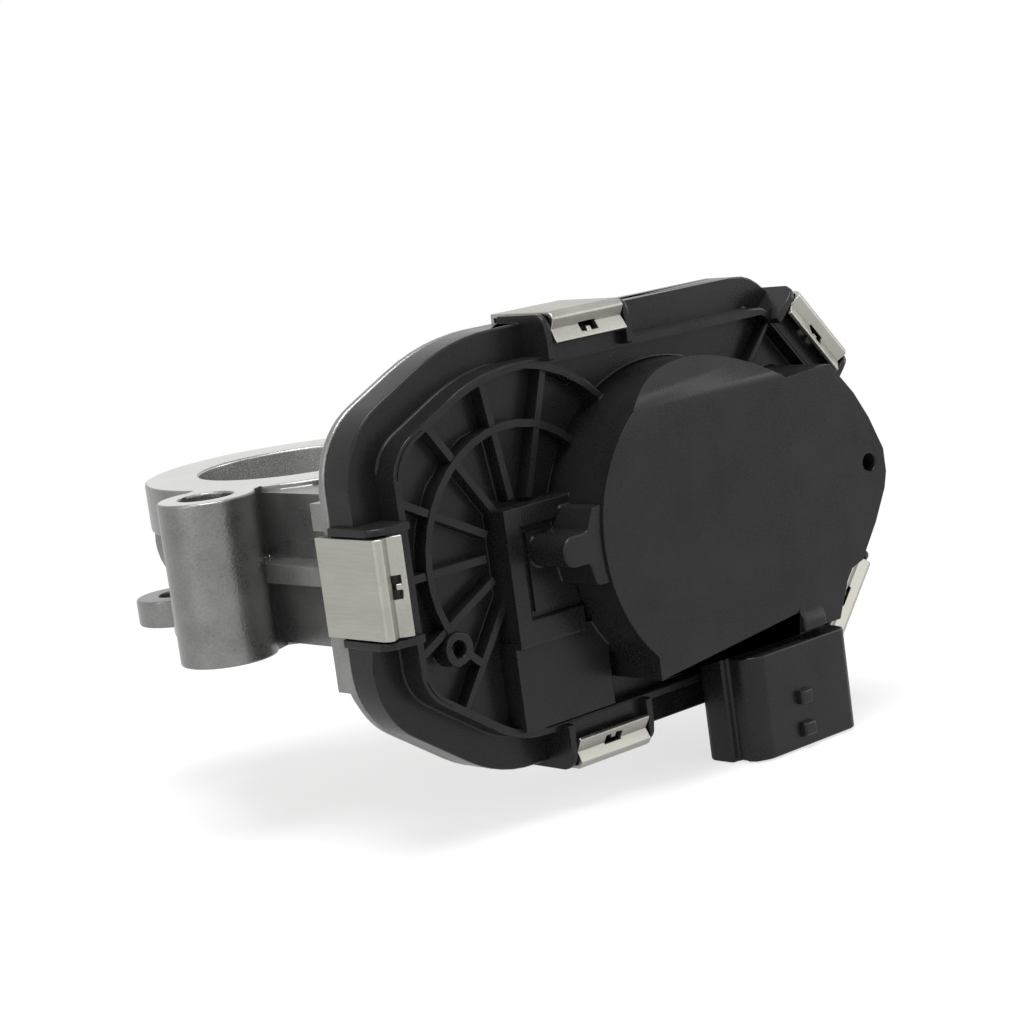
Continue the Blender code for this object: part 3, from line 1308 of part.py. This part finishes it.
def build():
    throttle = joint_axis("throttle_axis", 0.0)
    middle = joint_axis("intermediate_axis", GEAR_PIN_X)
    motor = joint_axis("motor_axis", MOTOR_X)
    bpy.context.view_layer.update()

    finish(make_housing(), "throttle_housing", CAST)
    finish(make_cover(), "cover", BLACK)
    finish(make_gasket(), "cover_gasket", RUBBER)
    for station in STATIONS:
        finish(make_clip(station), station, STEEL)
    for i in range(PIN_COUNT):
        finish(make_pin(i), f"connector_pin_{i + 1}", BRASS)
    finish(make_sensor_board(), "sensor_board", FERRITE)

    finish(make_shaft(), "throttle_shaft", BRIGHT, throttle)
    finish(make_plate(), "throttle_plate", BRASS, throttle)
    for i, side in enumerate((-1, 1)):
        finish(make_plate_screw(side), f"plate_screw_{i + 1}", BRIGHT, throttle)
    finish(make_sector_gear(), "sector_gear", NYLON, throttle)
    magnet = tube(MAGNET_R, MAGNET_R / 2, HUB_FRONT_Y - FIT_GAP, HUB_FRONT_Y - FIT_GAP - MAGNET_THICKNESS)
    finish(magnet, "sensor_magnet", FERRITE, throttle)

    inner = SHAFT_R + SHAFT_GAP
    front = FRONT_BEARING_Y
    finish(tube(BEARING_R, inner, front, front - BEARING_LENGTH), "front_bearing", BRIGHT)
    front += SHAFT_GAP
    finish(tube(BEARING_R, inner, front, front + SEAL_LENGTH), "front_shaft_seal", RUBBER)
    rear = REAR_BEARING_Y
    finish(tube(BEARING_R, inner, rear, rear - BEARING_LENGTH), "rear_bearing", BRIGHT)
    rear -= BEARING_LENGTH + SHAFT_GAP
    finish(tube(BEARING_R, inner, rear, rear - SEAL_LENGTH), "rear_shaft_seal", RUBBER)
    seat = REAR_BEARING_Y + FIT_GAP
    finish(rod(BEARING_R, seat, seat + PLUG_CAP, (0, SHAFT_Z), "Y", 32), "bearing_end_cap", BRIGHT)
    finish(make_return_spring(), "return_spring", STEEL)

    finish(make_intermediate_gear(), "intermediate_gear", NYLON, middle)
    ends = (GEAR_PIN_END_Y - FIT_GAP, COVER_CEILING_Y + FIT_GAP)
    finish(rod(GEAR_PIN_R, *ends, (GEAR_PIN_X, SHAFT_Z), "Y", SMALL_ROUND), "gear_pin", BRIGHT)

    finish(make_motor_can(), "motor_can", BRIGHT)
    finish(make_motor_cap(), "motor_brush_carrier", BLACK)
    finish(make_motor_plate(), "motor_plate", STEEL)
    finish(make_wave_washer(), "wave_washer", STEEL)
    for i, side in enumerate((-1, 1)):
        finish(make_motor_magnet(side), f"motor_magnet_{i + 1}", FERRITE)
        finish(make_brush(side), f"motor_brush_{i + 1}", FERRITE)
        finish(make_motor_terminal(side), f"motor_terminal_{i + 1}", BRASS)
        finish(make_motor_screw(side), f"motor_screw_{i + 1}", BRIGHT)
    finish(make_armature(), "motor_armature", COPPER, motor)
    finish(make_motor_shaft(), "motor_shaft", BRIGHT, motor)
    finish(make_pinion(), "motor_pinion", BRASS, motor)


build()
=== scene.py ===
"""Looks of the electronic throttle body: rounded edges, finishes, light and camera."""

import json
import math

import bmesh
import bpy
import numpy as np
from mathutils import Matrix, Vector
from mathutils.bvhtree import BVHTree


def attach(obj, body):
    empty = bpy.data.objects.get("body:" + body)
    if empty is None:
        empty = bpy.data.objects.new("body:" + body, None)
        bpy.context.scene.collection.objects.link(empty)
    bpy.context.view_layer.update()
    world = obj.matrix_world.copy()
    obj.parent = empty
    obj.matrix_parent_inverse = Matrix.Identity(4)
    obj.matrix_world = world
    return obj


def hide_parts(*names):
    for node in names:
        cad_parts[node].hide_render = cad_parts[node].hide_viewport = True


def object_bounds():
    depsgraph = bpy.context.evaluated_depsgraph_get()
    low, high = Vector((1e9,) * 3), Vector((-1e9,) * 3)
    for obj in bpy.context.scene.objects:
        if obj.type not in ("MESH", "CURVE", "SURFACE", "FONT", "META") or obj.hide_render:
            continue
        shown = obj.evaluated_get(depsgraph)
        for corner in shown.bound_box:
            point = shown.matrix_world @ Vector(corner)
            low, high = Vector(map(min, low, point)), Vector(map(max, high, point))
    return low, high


MM = 0.001
BODY_HEIGHT = 27.5 * MM
BORE_R = 18.0 * MM
CASE_REAR_Y = -30.0 * MM
MOTOR_LEFT_X = 38.9 * MM
SKIM = 0.05 * MM
CLIPS = ("clip_left", "clip_top", "clip_bottom", "clip_upper_right", "clip_lower_right")

# How the edges are rounded
CAST_RADII = (0.45 * MM, 0.2 * MM)
MOULDED_RADII = (0.4 * MM, 0.2 * MM)
STRIP_RADII = (0.2 * MM,)
MERGE_REACH = 0.002 * MM
LEVEL_ANGLE = math.radians(1.0)
HARD_EDGE = math.radians(50)
SHARPEST_TURN = math.radians(170)
CORNER_SHARE = 0.9
NEAR_HALF = 0.45
AHEAD_SLOPE = 0.8
SHORTEST = 0.001 * MM
ROOM_GROWTH = 1.5
FULL_ROOM = 0.98
EDGE_SPOTS = np.linspace(0.0, 1.0, 5)
EDGE_PROBES = (0.02, 0.5, 0.98)
EDGE_WEIGHT = "bevel_weight_edge"
EDGE_SEGMENTS = 2
FOLDED = math.radians(150)
FOLD_REACH = 0.3 * MM
FOLD_TRIES = 8

# Mottle of the finishes
PATCH_SHARE = 0.6
PATCH_DETAIL = 3.0
GRAIN_DETAIL = 2.0
MOTTLE_RANGE = (0.36, 0.64)
ROLLED_STRETCH = (1.0, 0.08, 1.0)
MOULDED_SHEEN = 0.2
CAST_METALLIC = 0.8

# Room and camera, in metres and watts
FLOOR_SIZE = 12.0
FLOOR_DROP = 0.3 * MM
FLOOR_GREY = 0.9
FLOOR_ROUGHNESS = 0.8
FLOOR_FADE = (0.1, 0.4)
FLOOR_WHITE_NEAR = 0.7
LAMP_TARGET = Vector((0.02, -0.03, 0.014))
LAMPS = (
    ("top_box", (-0.1, -0.15, 0.9), (0.55, 0.55), 11.0),
    ("left_box", (-0.9, -0.1, 0.35), (0.5, 0.6), 2.5),
    ("front_box", (0.1, -1.0, 0.35), (0.8, 0.6), 2.2),
    ("right_box", (0.9, -0.5, 0.3), (0.5, 0.6), 3.0),
)
WORLD_FILL = 0.42
WHITE = (1.0, 1.0, 1.0, 1.0)
LENS_MM = 93.4
SENSOR_MM = 36.0
CLIP_START = 0.01
CAMERA_AT = Vector((-277.8, -373.9, 85.45)) * MM
CAMERA_RIGHT = Vector((0.734, -0.666, -0.134))
CAMERA_UP = Vector((0.202, 0.026, 0.979))

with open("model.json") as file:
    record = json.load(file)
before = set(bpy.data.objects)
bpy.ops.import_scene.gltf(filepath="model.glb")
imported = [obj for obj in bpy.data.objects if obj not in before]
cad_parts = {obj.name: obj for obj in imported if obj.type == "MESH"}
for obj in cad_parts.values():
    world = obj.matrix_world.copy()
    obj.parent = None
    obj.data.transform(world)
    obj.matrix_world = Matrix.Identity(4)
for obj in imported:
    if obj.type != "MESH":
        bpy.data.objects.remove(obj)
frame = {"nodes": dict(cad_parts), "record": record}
cad_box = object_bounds()
nodes = frame["nodes"]


# Shared effects for the finishes


def group_socket(group, name, kind, way):
    group.interface.new_socket(name=name, in_out=way, socket_type=kind)


def wire(tree, source, target):
    tree.links.new(source, target)


def math_node(tree, operation, first, second, clamp=False):
    node = tree.nodes.new("ShaderNodeMath")
    node.operation = operation
    node.use_clamp = clamp
    for slot, value in zip(node.inputs, (first, second)):
        if isinstance(value, (int, float)):
            slot.default_value = value
        else:
            wire(tree, value, slot)
    return node.outputs[0]


def make_mottle_group():
    """Slow unevenness and fine grain: a colour, a roughness and a height from one position."""
    group = bpy.data.node_groups.new("surface_mottle", "ShaderNodeTree")
    group_socket(group, "Vector", "NodeSocketVector", "INPUT")
    group_socket(group, "Dark", "NodeSocketColor", "INPUT")
    group_socket(group, "Light", "NodeSocketColor", "INPUT")
    group_socket(group, "Patch Scale", "NodeSocketFloat", "INPUT")
    group_socket(group, "Grain Scale", "NodeSocketFloat", "INPUT")
    group_socket(group, "Rough Low", "NodeSocketFloat", "INPUT")
    group_socket(group, "Rough High", "NodeSocketFloat", "INPUT")
    group_socket(group, "Color", "NodeSocketColor", "OUTPUT")
    group_socket(group, "Roughness", "NodeSocketFloat", "OUTPUT")
    group_socket(group, "Height", "NodeSocketFloat", "OUTPUT")
    start = group.nodes.new("NodeGroupInput")
    end = group.nodes.new("NodeGroupOutput")
    patch = group.nodes.new("ShaderNodeTexNoise")
    patch.inputs["Detail"].default_value = PATCH_DETAIL
    grain = group.nodes.new("ShaderNodeTexNoise")
    grain.inputs["Detail"].default_value = GRAIN_DETAIL
    for texture, scale in ((patch, "Patch Scale"), (grain, "Grain Scale")):
        wire(group, start.outputs["Vector"], texture.inputs["Vector"])
        wire(group, start.outputs[scale], texture.inputs["Scale"])
    blend = math_node(group, "MULTIPLY_ADD", patch.outputs["Fac"], PATCH_SHARE)
    wire(group, math_node(group, "MULTIPLY", grain.outputs["Fac"], 1.0 - PATCH_SHARE), blend.node.inputs[2])
    spread = group.nodes.new("ShaderNodeMapRange")
    spread.inputs["From Min"].default_value = MOTTLE_RANGE[0]
    spread.inputs["From Max"].default_value = MOTTLE_RANGE[1]
    wire(group, blend, spread.inputs["Value"])
    colour = group.nodes.new("ShaderNodeMix")
    colour.data_type = "RGBA"
    wire(group, spread.outputs["Result"], colour.inputs["Factor"])
    wire(group, start.outputs["Dark"], colour.inputs["A"])
    wire(group, start.outputs["Light"], colour.inputs["B"])
    rough = group.nodes.new("ShaderNodeMix")
    wire(group, spread.outputs["Result"], rough.inputs["Factor"])
    wire(group, start.outputs["Rough Low"], rough.inputs["A"])
    wire(group, start.outputs["Rough High"], rough.inputs["B"])
    wire(group, colour.outputs["Result"], end.inputs["Color"])
    wire(group, rough.outputs["Result"], end.inputs["Roughness"])
    wire(group, grain.outputs["Fac"], end.inputs["Height"])
    return group


MOTTLE = make_mottle_group()


def start_material(name, metallic):
    material = bpy.data.materials.new(name)
    material.use_nodes = True
    tree = material.node_tree
    shader = tree.nodes["Principled BSDF"]
    shader.inputs["Metallic"].default_value = metallic
    place = tree.nodes.new("ShaderNodeTexCoord")
    return material, tree, shader, place.outputs["Object"]


def add_mottle(tree, vector, dark, light, patch, grain, rough):
    effect = tree.nodes.new("ShaderNodeGroup")
    effect.node_tree = MOTTLE
    wire(tree, vector, effect.inputs["Vector"])
    effect.inputs["Dark"].default_value = (*dark, 1.0)
    effect.inputs["Light"].default_value = (*light, 1.0)
    effect.inputs["Patch Scale"].default_value = patch
    effect.inputs["Grain Scale"].default_value = grain
    effect.inputs["Rough Low"].default_value = rough[0]
    effect.inputs["Rough High"].default_value = rough[1]
    return effect


def add_bump(tree, shader, height, strength, distance):
    bump = tree.nodes.new("ShaderNodeBump")
    bump.inputs["Strength"].default_value = strength
    bump.inputs["Distance"].default_value = distance
    wire(tree, height, bump.inputs["Height"])
    wire(tree, bump.outputs["Normal"], shader.inputs["Normal"])


def use_mottle(tree, shader, effect, strength, distance):
    wire(tree, effect.outputs["Color"], shader.inputs["Base Color"])
    wire(tree, effect.outputs["Roughness"], shader.inputs["Roughness"])
    add_bump(tree, shader, effect.outputs["Height"], strength, distance)


def plain_finish(name, dark, light, metallic, patch, grain, rough, strength):
    """A finish with slow colour changes and a fine grain."""
    material, tree, shader, place = start_material(name, metallic)
    effect = add_mottle(tree, place, dark, light, patch, grain, rough)
    use_mottle(tree, shader, effect, strength, 0.1 * MM)
    return material


def machined_masks(tree, place):
    """Where the casting is faced off at its two mounting faces, and where its bore is turned."""
    split = tree.nodes.new("ShaderNodeSeparateXYZ")
    wire(tree, place, split.inputs["Vector"])
    flat = tree.nodes.new("ShaderNodeCombineXYZ")
    wire(tree, split.outputs["X"], flat.inputs["X"])
    wire(tree, split.outputs["Y"], flat.inputs["Y"])
    reach = tree.nodes.new("ShaderNodeVectorMath")
    reach.operation = "LENGTH"
    wire(tree, flat.outputs["Vector"], reach.inputs[0])
    levels = []
    for height in (0.0, BODY_HEIGHT):
        away = math_node(tree, "ABSOLUTE", math_node(tree, "SUBTRACT", split.outputs["Z"], height), 0.0)
        levels.append(math_node(tree, "LESS_THAN", away, SKIM))
    behind = math_node(tree, "GREATER_THAN", split.outputs["Y"], CASE_REAR_Y)
    beside = math_node(tree, "LESS_THAN", split.outputs["X"], MOTOR_LEFT_X)
    flange = math_node(tree, "MULTIPLY", behind, beside)
    faced = math_node(tree, "MULTIPLY", math_node(tree, "MAXIMUM", *levels), flange)
    turned = math_node(tree, "LESS_THAN", reach.outputs["Value"], BORE_R + 2 * SKIM)
    return faced, turned


def mix_over(tree, kind, mask, under, over):
    mix = tree.nodes.new("ShaderNodeMix")
    mix.data_type = kind
    wire(tree, mask, mix.inputs["Factor"])
    sockets = [socket for socket in mix.inputs if socket.enabled and socket.name in "AB"]
    wire(tree, under, sockets[0])
    wire(tree, over, sockets[1])
    return [socket for socket in mix.outputs if socket.enabled][0]


def cast_finish():
    """Sandy cast aluminium with brighter, smoother machined faces and a darker turned bore."""
    material, tree, shader, place = start_material("cast_aluminium_sandy", CAST_METALLIC)
    skin = add_mottle(tree, place, (0.15, 0.15, 0.148), (0.215, 0.215, 0.21), 150.0, 2600.0, (0.27, 0.37))
    face = add_mottle(tree, place, (0.46, 0.465, 0.44), (0.53, 0.535, 0.51), 120.0, 3000.0, (0.28, 0.34))
    wall = add_mottle(tree, place, (0.38, 0.39, 0.4), (0.45, 0.46, 0.47), 90.0, 2600.0, (0.24, 0.32))
    faced, turned = machined_masks(tree, place)
    for output, socket, kind in (("Color", "Base Color", "RGBA"), ("Roughness", "Roughness", "FLOAT")):
        found = mix_over(tree, kind, faced, skin.outputs[output], face.outputs[output])
        found = mix_over(tree, kind, turned, found, wall.outputs[output])
        wire(tree, found, shader.inputs[socket])
    sandy = math_node(tree, "SUBTRACT", 1.0, math_node(tree, "MAXIMUM", faced, turned))
    add_bump(tree, shader, math_node(tree, "MULTIPLY", skin.outputs["Height"], sandy), 0.4, 0.12 * MM)
    return material


def strip_finish():
    """Satin strip steel, rolled along Y so that its grain runs from hook to lip."""
    material, tree, shader, place = start_material("clip_strip_steel", 1.0)
    stretch = tree.nodes.new("ShaderNodeMapping")
    stretch.inputs["Scale"].default_value = ROLLED_STRETCH
    wire(tree, place, stretch.inputs["Vector"])
    dark = (0.31, 0.305, 0.275)
    light = (0.38, 0.374, 0.336)
    effect = add_mottle(tree, stretch.outputs["Vector"], dark, light, 160.0, 2600.0, (0.34, 0.42))
    use_mottle(tree, shader, effect, 0.12, 0.05 * MM)
    return material


def moulded_finish():
    """Black glass-filled plastic: a dull, finely pitted skin with faint grey flow marks."""
    material, tree, shader, place = start_material("cover_moulded_black", 0.0)
    shader.inputs["Specular IOR Level"].default_value = MOULDED_SHEEN
    dark = (0.0065, 0.0065, 0.0067)
    light = (0.0105, 0.0105, 0.0108)
    effect = add_mottle(tree, place, dark, light, 90.0, 2600.0, (0.24, 0.33))
    use_mottle(tree, shader, effect, 0.25, 0.06 * MM)
    return material


CAST = cast_finish()
STRIP = strip_finish()
MOULDED = moulded_finish()
GROUND = plain_finish(
    "ground_steel", (0.44, 0.44, 0.45), (0.58, 0.58, 0.59), 1.0, 150.0, 2500.0, (0.2, 0.32), 0.08
)
NYLON = plain_finish(
    "gear_nylon", (0.52, 0.5, 0.42), (0.64, 0.62, 0.54), 0.0, 80.0, 1500.0, (0.4, 0.5), 0.1
)
BRASS = plain_finish(
    "rolled_brass", (0.5, 0.37, 0.13), (0.66, 0.51, 0.22), 1.0, 120.0, 2200.0, (0.24, 0.36), 0.08
)
RUBBER = plain_finish(
    "seal_rubber", (0.018, 0.018, 0.018), (0.034, 0.034, 0.034), 0.0, 120.0, 1800.0, (0.6, 0.75), 0.2
)
FERRITE = plain_finish(
    "sintered_ferrite", (0.05, 0.05, 0.054), (0.1, 0.1, 0.105), 0.0, 160.0, 1800.0, (0.5, 0.65), 0.3
)
COPPER = plain_finish(
    "wound_copper", (0.42, 0.16, 0.07), (0.62, 0.3, 0.15), 1.0, 300.0, 2600.0, (0.28, 0.4), 0.2
)
FINISHES = {
    "cast_aluminium": CAST,
    "spring_steel": STRIP,
    "black_plastic": MOULDED,
    "bright_steel": GROUND,
    "natural_nylon": NYLON,
    "brass": BRASS,
    "black_rubber": RUBBER,
    "ferrite": FERRITE,
    "copper": COPPER,
}


# Pieces


def select_nothing():
    if bpy.context.object and bpy.context.object.mode != "OBJECT":
        bpy.ops.object.mode_set(mode="OBJECT")
    bpy.ops.object.select_all(action="DESELECT")


def select_only(obj):
    select_nothing()
    obj.select_set(True)
    bpy.context.view_layer.objects.active = obj


def narrow(room, edges, limit):
    for edge in edges:
        if edge in room:
            room[edge] = min(room[edge], limit)


def room_at_corners(loops, length, turn, room):
    """Keeps a face's hard edges narrow enough that no edge between two of them is used up."""
    count = len(loops)
    for index, loop in enumerate(loops):
        after = (index + 1) % count
        ends = ((loops[index - 1].edge, turn[index]), (loops[after].edge, turn[after]))
        if loop.edge in room:
            turns = [min(angle, SHARPEST_TURN) for edge, angle in ends if edge in room]
            lost = sum(max(0.0, math.tan(angle / 2)) for angle in turns)
            if lost > 0.0:
                narrow(room, (loop.edge, ends[0][0], ends[1][0]), CORNER_SHARE * length[index] / lost)
            continue
        for edge, angle in ends:
            narrow(room, (edge,), NEAR_HALF * length[index] * abs(math.sin(angle)))


def room_across(loops, start, step, normal, room):
    """Keeps a face's hard edges narrower than half the way to whatever lies across the face."""
    count = len(loops)
    last = len(EDGE_SPOTS) - 1
    points = (start[:, None] + EDGE_SPOTS[None, :, None] * step[:, None]).reshape(-1, 3)
    owner = np.repeat(np.arange(count), last + 1)
    spot = np.tile(np.arange(last + 1), count)
    for index, loop in enumerate(loops):
        if loop.edge not in room:
            continue
        inward = np.cross(normal, step[index] / np.linalg.norm(step[index]))
        keep = owner != index
        keep &= (owner != (index + 1) % count) | (spot == last)
        keep &= (owner != (index - 1) % count) | (spot == 0)
        for probe in EDGE_PROBES:
            way = points[keep] - (start[index] + probe * step[index])
            depth = way @ inward
            aside = np.linalg.norm(way - depth[:, None] * inward, axis=1)
            ahead = depth[(depth > AHEAD_SLOPE * aside) & (depth > SHORTEST)]
            if len(ahead):
                narrow(room, (loop.edge,), NEAR_HALF * ahead.min())


def edge_room(shape, width):
    """How wide each hard edge can be rounded, up to a width, before it meets another."""
    room = {edge: width for edge in shape.edges if edge.calc_face_angle(0.0) > HARD_EDGE}
    for face in shape.faces:
        loops = list(face.loops)
        start = np.array([loop.vert.co for loop in loops])
        step = np.roll(start, -1, axis=0) - start
        length = np.linalg.norm(step, axis=1)
        way = step / length[:, None]
        before = np.roll(way, 1, axis=0)
        normal = np.array(face.normal)
        turn = np.arctan2(np.cross(before, way) @ normal, np.sum(before * way, axis=1))
        room_at_corners(loops, length, turn, room)
        room_across(loops, start, step, normal, room)
    for vert in shape.verts:
        meeting = [edge for edge in vert.link_edges if edge in room]
        if meeting:
            narrow(room, meeting, ROOM_GROWTH * min(room[edge] for edge in meeting))
    return room


def folds(mesh):
    """Points where a mesh cuts through itself."""
    shape = bmesh.new()
    shape.from_mesh(mesh)
    bmesh.ops.triangulate(shape, faces=shape.faces[:])
    shape.faces.ensure_lookup_table()
    tree = BVHTree.FromBMesh(shape)
    found = []
    for one, two in tree.overlap(tree):
        pair = shape.faces[one], shape.faces[two]
        if one < two and not set(pair[0].verts) & set(pair[1].verts):
            found.extend(face.calc_center_median() for face in pair)
    for edge in shape.edges:
        if edge.calc_face_angle(0.0) > FOLDED:
            found.append((edge.verts[0].co + edge.verts[1].co) / 2)
    shape.free()
    return found


def harden_near(mesh, spots):
    """Leaves the edges beside some points hard."""
    weights = mesh.attributes[EDGE_WEIGHT].data
    points = np.array(spots)
    for edge in mesh.edges:
        ends = [np.array(mesh.vertices[index].co) for index in edge.vertices]
        step = ends[1] - ends[0]
        along = np.clip((points - ends[0]) @ step / (step @ step), 0.0, 1.0)
        away = np.linalg.norm(points - ends[0] - along[:, None] * step, axis=1)
        if away.min() < FOLD_REACH:
            weights[edge.index].value = 0.0


def round_edges(piece, width):
    """Rounds the hard edges that have room for the whole width, and leaves the others as they are."""
    shape = bmesh.new()
    shape.from_mesh(piece.data)
    layers = shape.edges.layers.float
    weight = layers.get(EDGE_WEIGHT) or layers.new(EDGE_WEIGHT)
    room = edge_room(shape, width)
    for edge in shape.edges:
        edge[weight] = float(room.get(edge, 0.0) > FULL_ROOM * width)
    shape.to_mesh(piece.data)
    shape.free()
    bevel = piece.modifiers.new("edge", "BEVEL")
    bevel.width = width
    bevel.segments = EDGE_SEGMENTS
    bevel.limit_method = "WEIGHT"
    bevel.use_clamp_overlap = False
    for _ in range(FOLD_TRIES):
        shown = piece.evaluated_get(bpy.context.evaluated_depsgraph_get())
        spots = folds(shown.to_mesh())
        shown.to_mesh_clear()
        if not spots:
            break
        harden_near(piece.data, spots)
        piece.data.update()
        piece.update_tag()
        bpy.context.view_layer.update()
    bpy.ops.object.modifier_apply(modifier="edge")


def settle_normals(mesh):
    """Shades each face smoothly into its near-level neighbours, with the larger faces leading."""
    mesh.shade_smooth()
    faces = mesh.polygons
    around = [[] for _ in mesh.vertices]
    for face in faces:
        for vert in face.vertices:
            around[vert].append(face.index)
    normals = [face.normal.copy() for face in faces]
    weighted = [face.normal * face.area for face in faces]
    level = math.cos(HARD_EDGE)
    corners = []
    for face, own in zip(faces, normals):
        for vert in face.vertices:
            near = [weighted[other] for other in around[vert] if normals[other].dot(own) > level]
            corners.append(sum(near, Vector()).normalized())
    mesh.normals_split_custom_set(corners)


def rounded_copy(node, name, widths):
    """A copy of a CAD node, merged and with its hard edges rounded in turn, that stands for it."""
    source = nodes[node]
    piece = bpy.data.objects.new(name, source.data.copy())
    bpy.context.scene.collection.objects.link(piece)
    select_only(piece)
    bpy.ops.object.mode_set(mode="EDIT")
    bpy.ops.mesh.select_all(action="SELECT")
    bpy.ops.mesh.remove_doubles(threshold=MERGE_REACH)
    bpy.ops.mesh.dissolve_limited(angle_limit=LEVEL_ANGLE)
    bpy.ops.object.mode_set(mode="OBJECT")
    for width in widths:
        round_edges(piece, width)
    settle_normals(piece.data)
    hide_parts(node)
    return piece


def dress(piece, finish, body):
    piece.data.materials.clear()
    piece.data.materials.append(finish)
    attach(piece, body)


def round_the_outside():
    """The pieces seen from outside get the small radii of a casting, a moulding or a bent strip."""
    dress(rounded_copy("throttle_housing", "housing_casting", CAST_RADII), CAST, "body")
    dress(rounded_copy("cover", "cover_moulding", MOULDED_RADII), MOULDED, "body")
    for node in CLIPS:
        dress(rounded_copy(node, node + "_strip", STRIP_RADII), STRIP, "body")


def dress_cad_nodes():
    for part in frame["record"]["subparts"]:
        mesh = nodes[part["node"]].data
        mesh.materials.clear()
        mesh.materials.append(FINISHES[part["material_slot"]])


# Room


def seen_directly(tree):
    """One for rays from the camera and for those that metal or glass sends on, so that these see white."""
    ray = tree.nodes.new("ShaderNodeLightPath")
    seen = math_node(tree, "MAXIMUM", ray.outputs["Is Camera Ray"], ray.outputs["Is Glossy Ray"])
    return math_node(tree, "MAXIMUM", seen, ray.outputs["Is Transmission Ray"])


def make_floor(height):
    select_nothing()
    bpy.ops.mesh.primitive_plane_add(size=FLOOR_SIZE, location=(0.0, 0.0, height))
    floor = bpy.context.object
    floor.name = "pale_floor"
    bpy.ops.object.transform_apply(location=True)
    material = bpy.data.materials.new("pale_floor")
    material.use_nodes = True
    tree = material.node_tree
    shader = tree.nodes["Principled BSDF"]
    shader.inputs["Base Color"].default_value = (FLOOR_GREY, FLOOR_GREY, FLOOR_GREY, 1.0)
    shader.inputs["Roughness"].default_value = FLOOR_ROUGHNESS
    white = tree.nodes.new("ShaderNodeEmission")
    place = tree.nodes.new("ShaderNodeTexCoord")
    away = tree.nodes.new("ShaderNodeVectorMath")
    away.operation = "LENGTH"
    wire(tree, place.outputs["Object"], away.inputs[0])
    fade = tree.nodes.new("ShaderNodeMapRange")
    fade.inputs["From Min"].default_value = FLOOR_FADE[0]
    fade.inputs["From Max"].default_value = FLOOR_FADE[1]
    fade.inputs["To Min"].default_value = FLOOR_WHITE_NEAR
    wire(tree, away.outputs["Value"], fade.inputs["Value"])
    mix = tree.nodes.new("ShaderNodeMixShader")
    wire(tree, math_node(tree, "MULTIPLY", seen_directly(tree), fade.outputs["Result"]), mix.inputs["Fac"])
    wire(tree, shader.outputs["BSDF"], mix.inputs[1])
    wire(tree, white.outputs["Emission"], mix.inputs[2])
    wire(tree, mix.outputs["Shader"], tree.nodes["Material Output"].inputs["Surface"])
    floor.data.materials.append(material)


def add_panel(name, place, size, power):
    """A soft box lamp, aimed at the middle of the part."""
    lamp = bpy.data.lights.new(name, "AREA")
    lamp.shape = "RECTANGLE"
    lamp.size = size[0]
    lamp.size_y = size[1]
    lamp.energy = power
    obj = bpy.data.objects.new(name, lamp)
    obj.location = place
    obj.rotation_euler = (LAMP_TARGET - Vector(place)).to_track_quat("-Z", "Y").to_euler()
    bpy.context.scene.collection.objects.link(obj)


def light_room():
    for lamp in LAMPS:
        add_panel(*lamp)
    world = bpy.data.worlds.new("white_room")
    bpy.context.scene.world = world
    world.use_nodes = True
    tree = world.node_tree
    fill = tree.nodes["Background"]
    fill.inputs["Color"].default_value = WHITE
    fill.inputs["Strength"].default_value = WORLD_FILL
    white = tree.nodes.new("ShaderNodeBackground")
    white.inputs["Color"].default_value = WHITE
    mix = tree.nodes.new("ShaderNodeMixShader")
    wire(tree, seen_directly(tree), mix.inputs["Fac"])
    wire(tree, fill.outputs["Background"], mix.inputs[1])
    wire(tree, white.outputs["Background"], mix.inputs[2])
    wire(tree, mix.outputs["Shader"], tree.nodes["World Output"].inputs["Surface"])


def place_camera():
    data = bpy.data.cameras.new("photo_camera")
    data.lens = LENS_MM
    data.sensor_width = SENSOR_MM
    data.clip_start = CLIP_START
    camera = bpy.data.objects.new("photo_camera", data)
    forward = CAMERA_RIGHT.cross(CAMERA_UP)
    turn = Matrix((CAMERA_RIGHT, CAMERA_UP, forward)).transposed()
    camera.matrix_world = Matrix.Translation(CAMERA_AT) @ turn.to_4x4()
    bpy.context.scene.collection.objects.link(camera)
    bpy.context.scene.camera = camera


bpy.context.scene.view_settings.view_transform = "Standard"
place_camera()
dress_cad_nodes()
round_the_outside()
make_floor(cad_box[0][2] - FLOOR_DROP)
light_room()
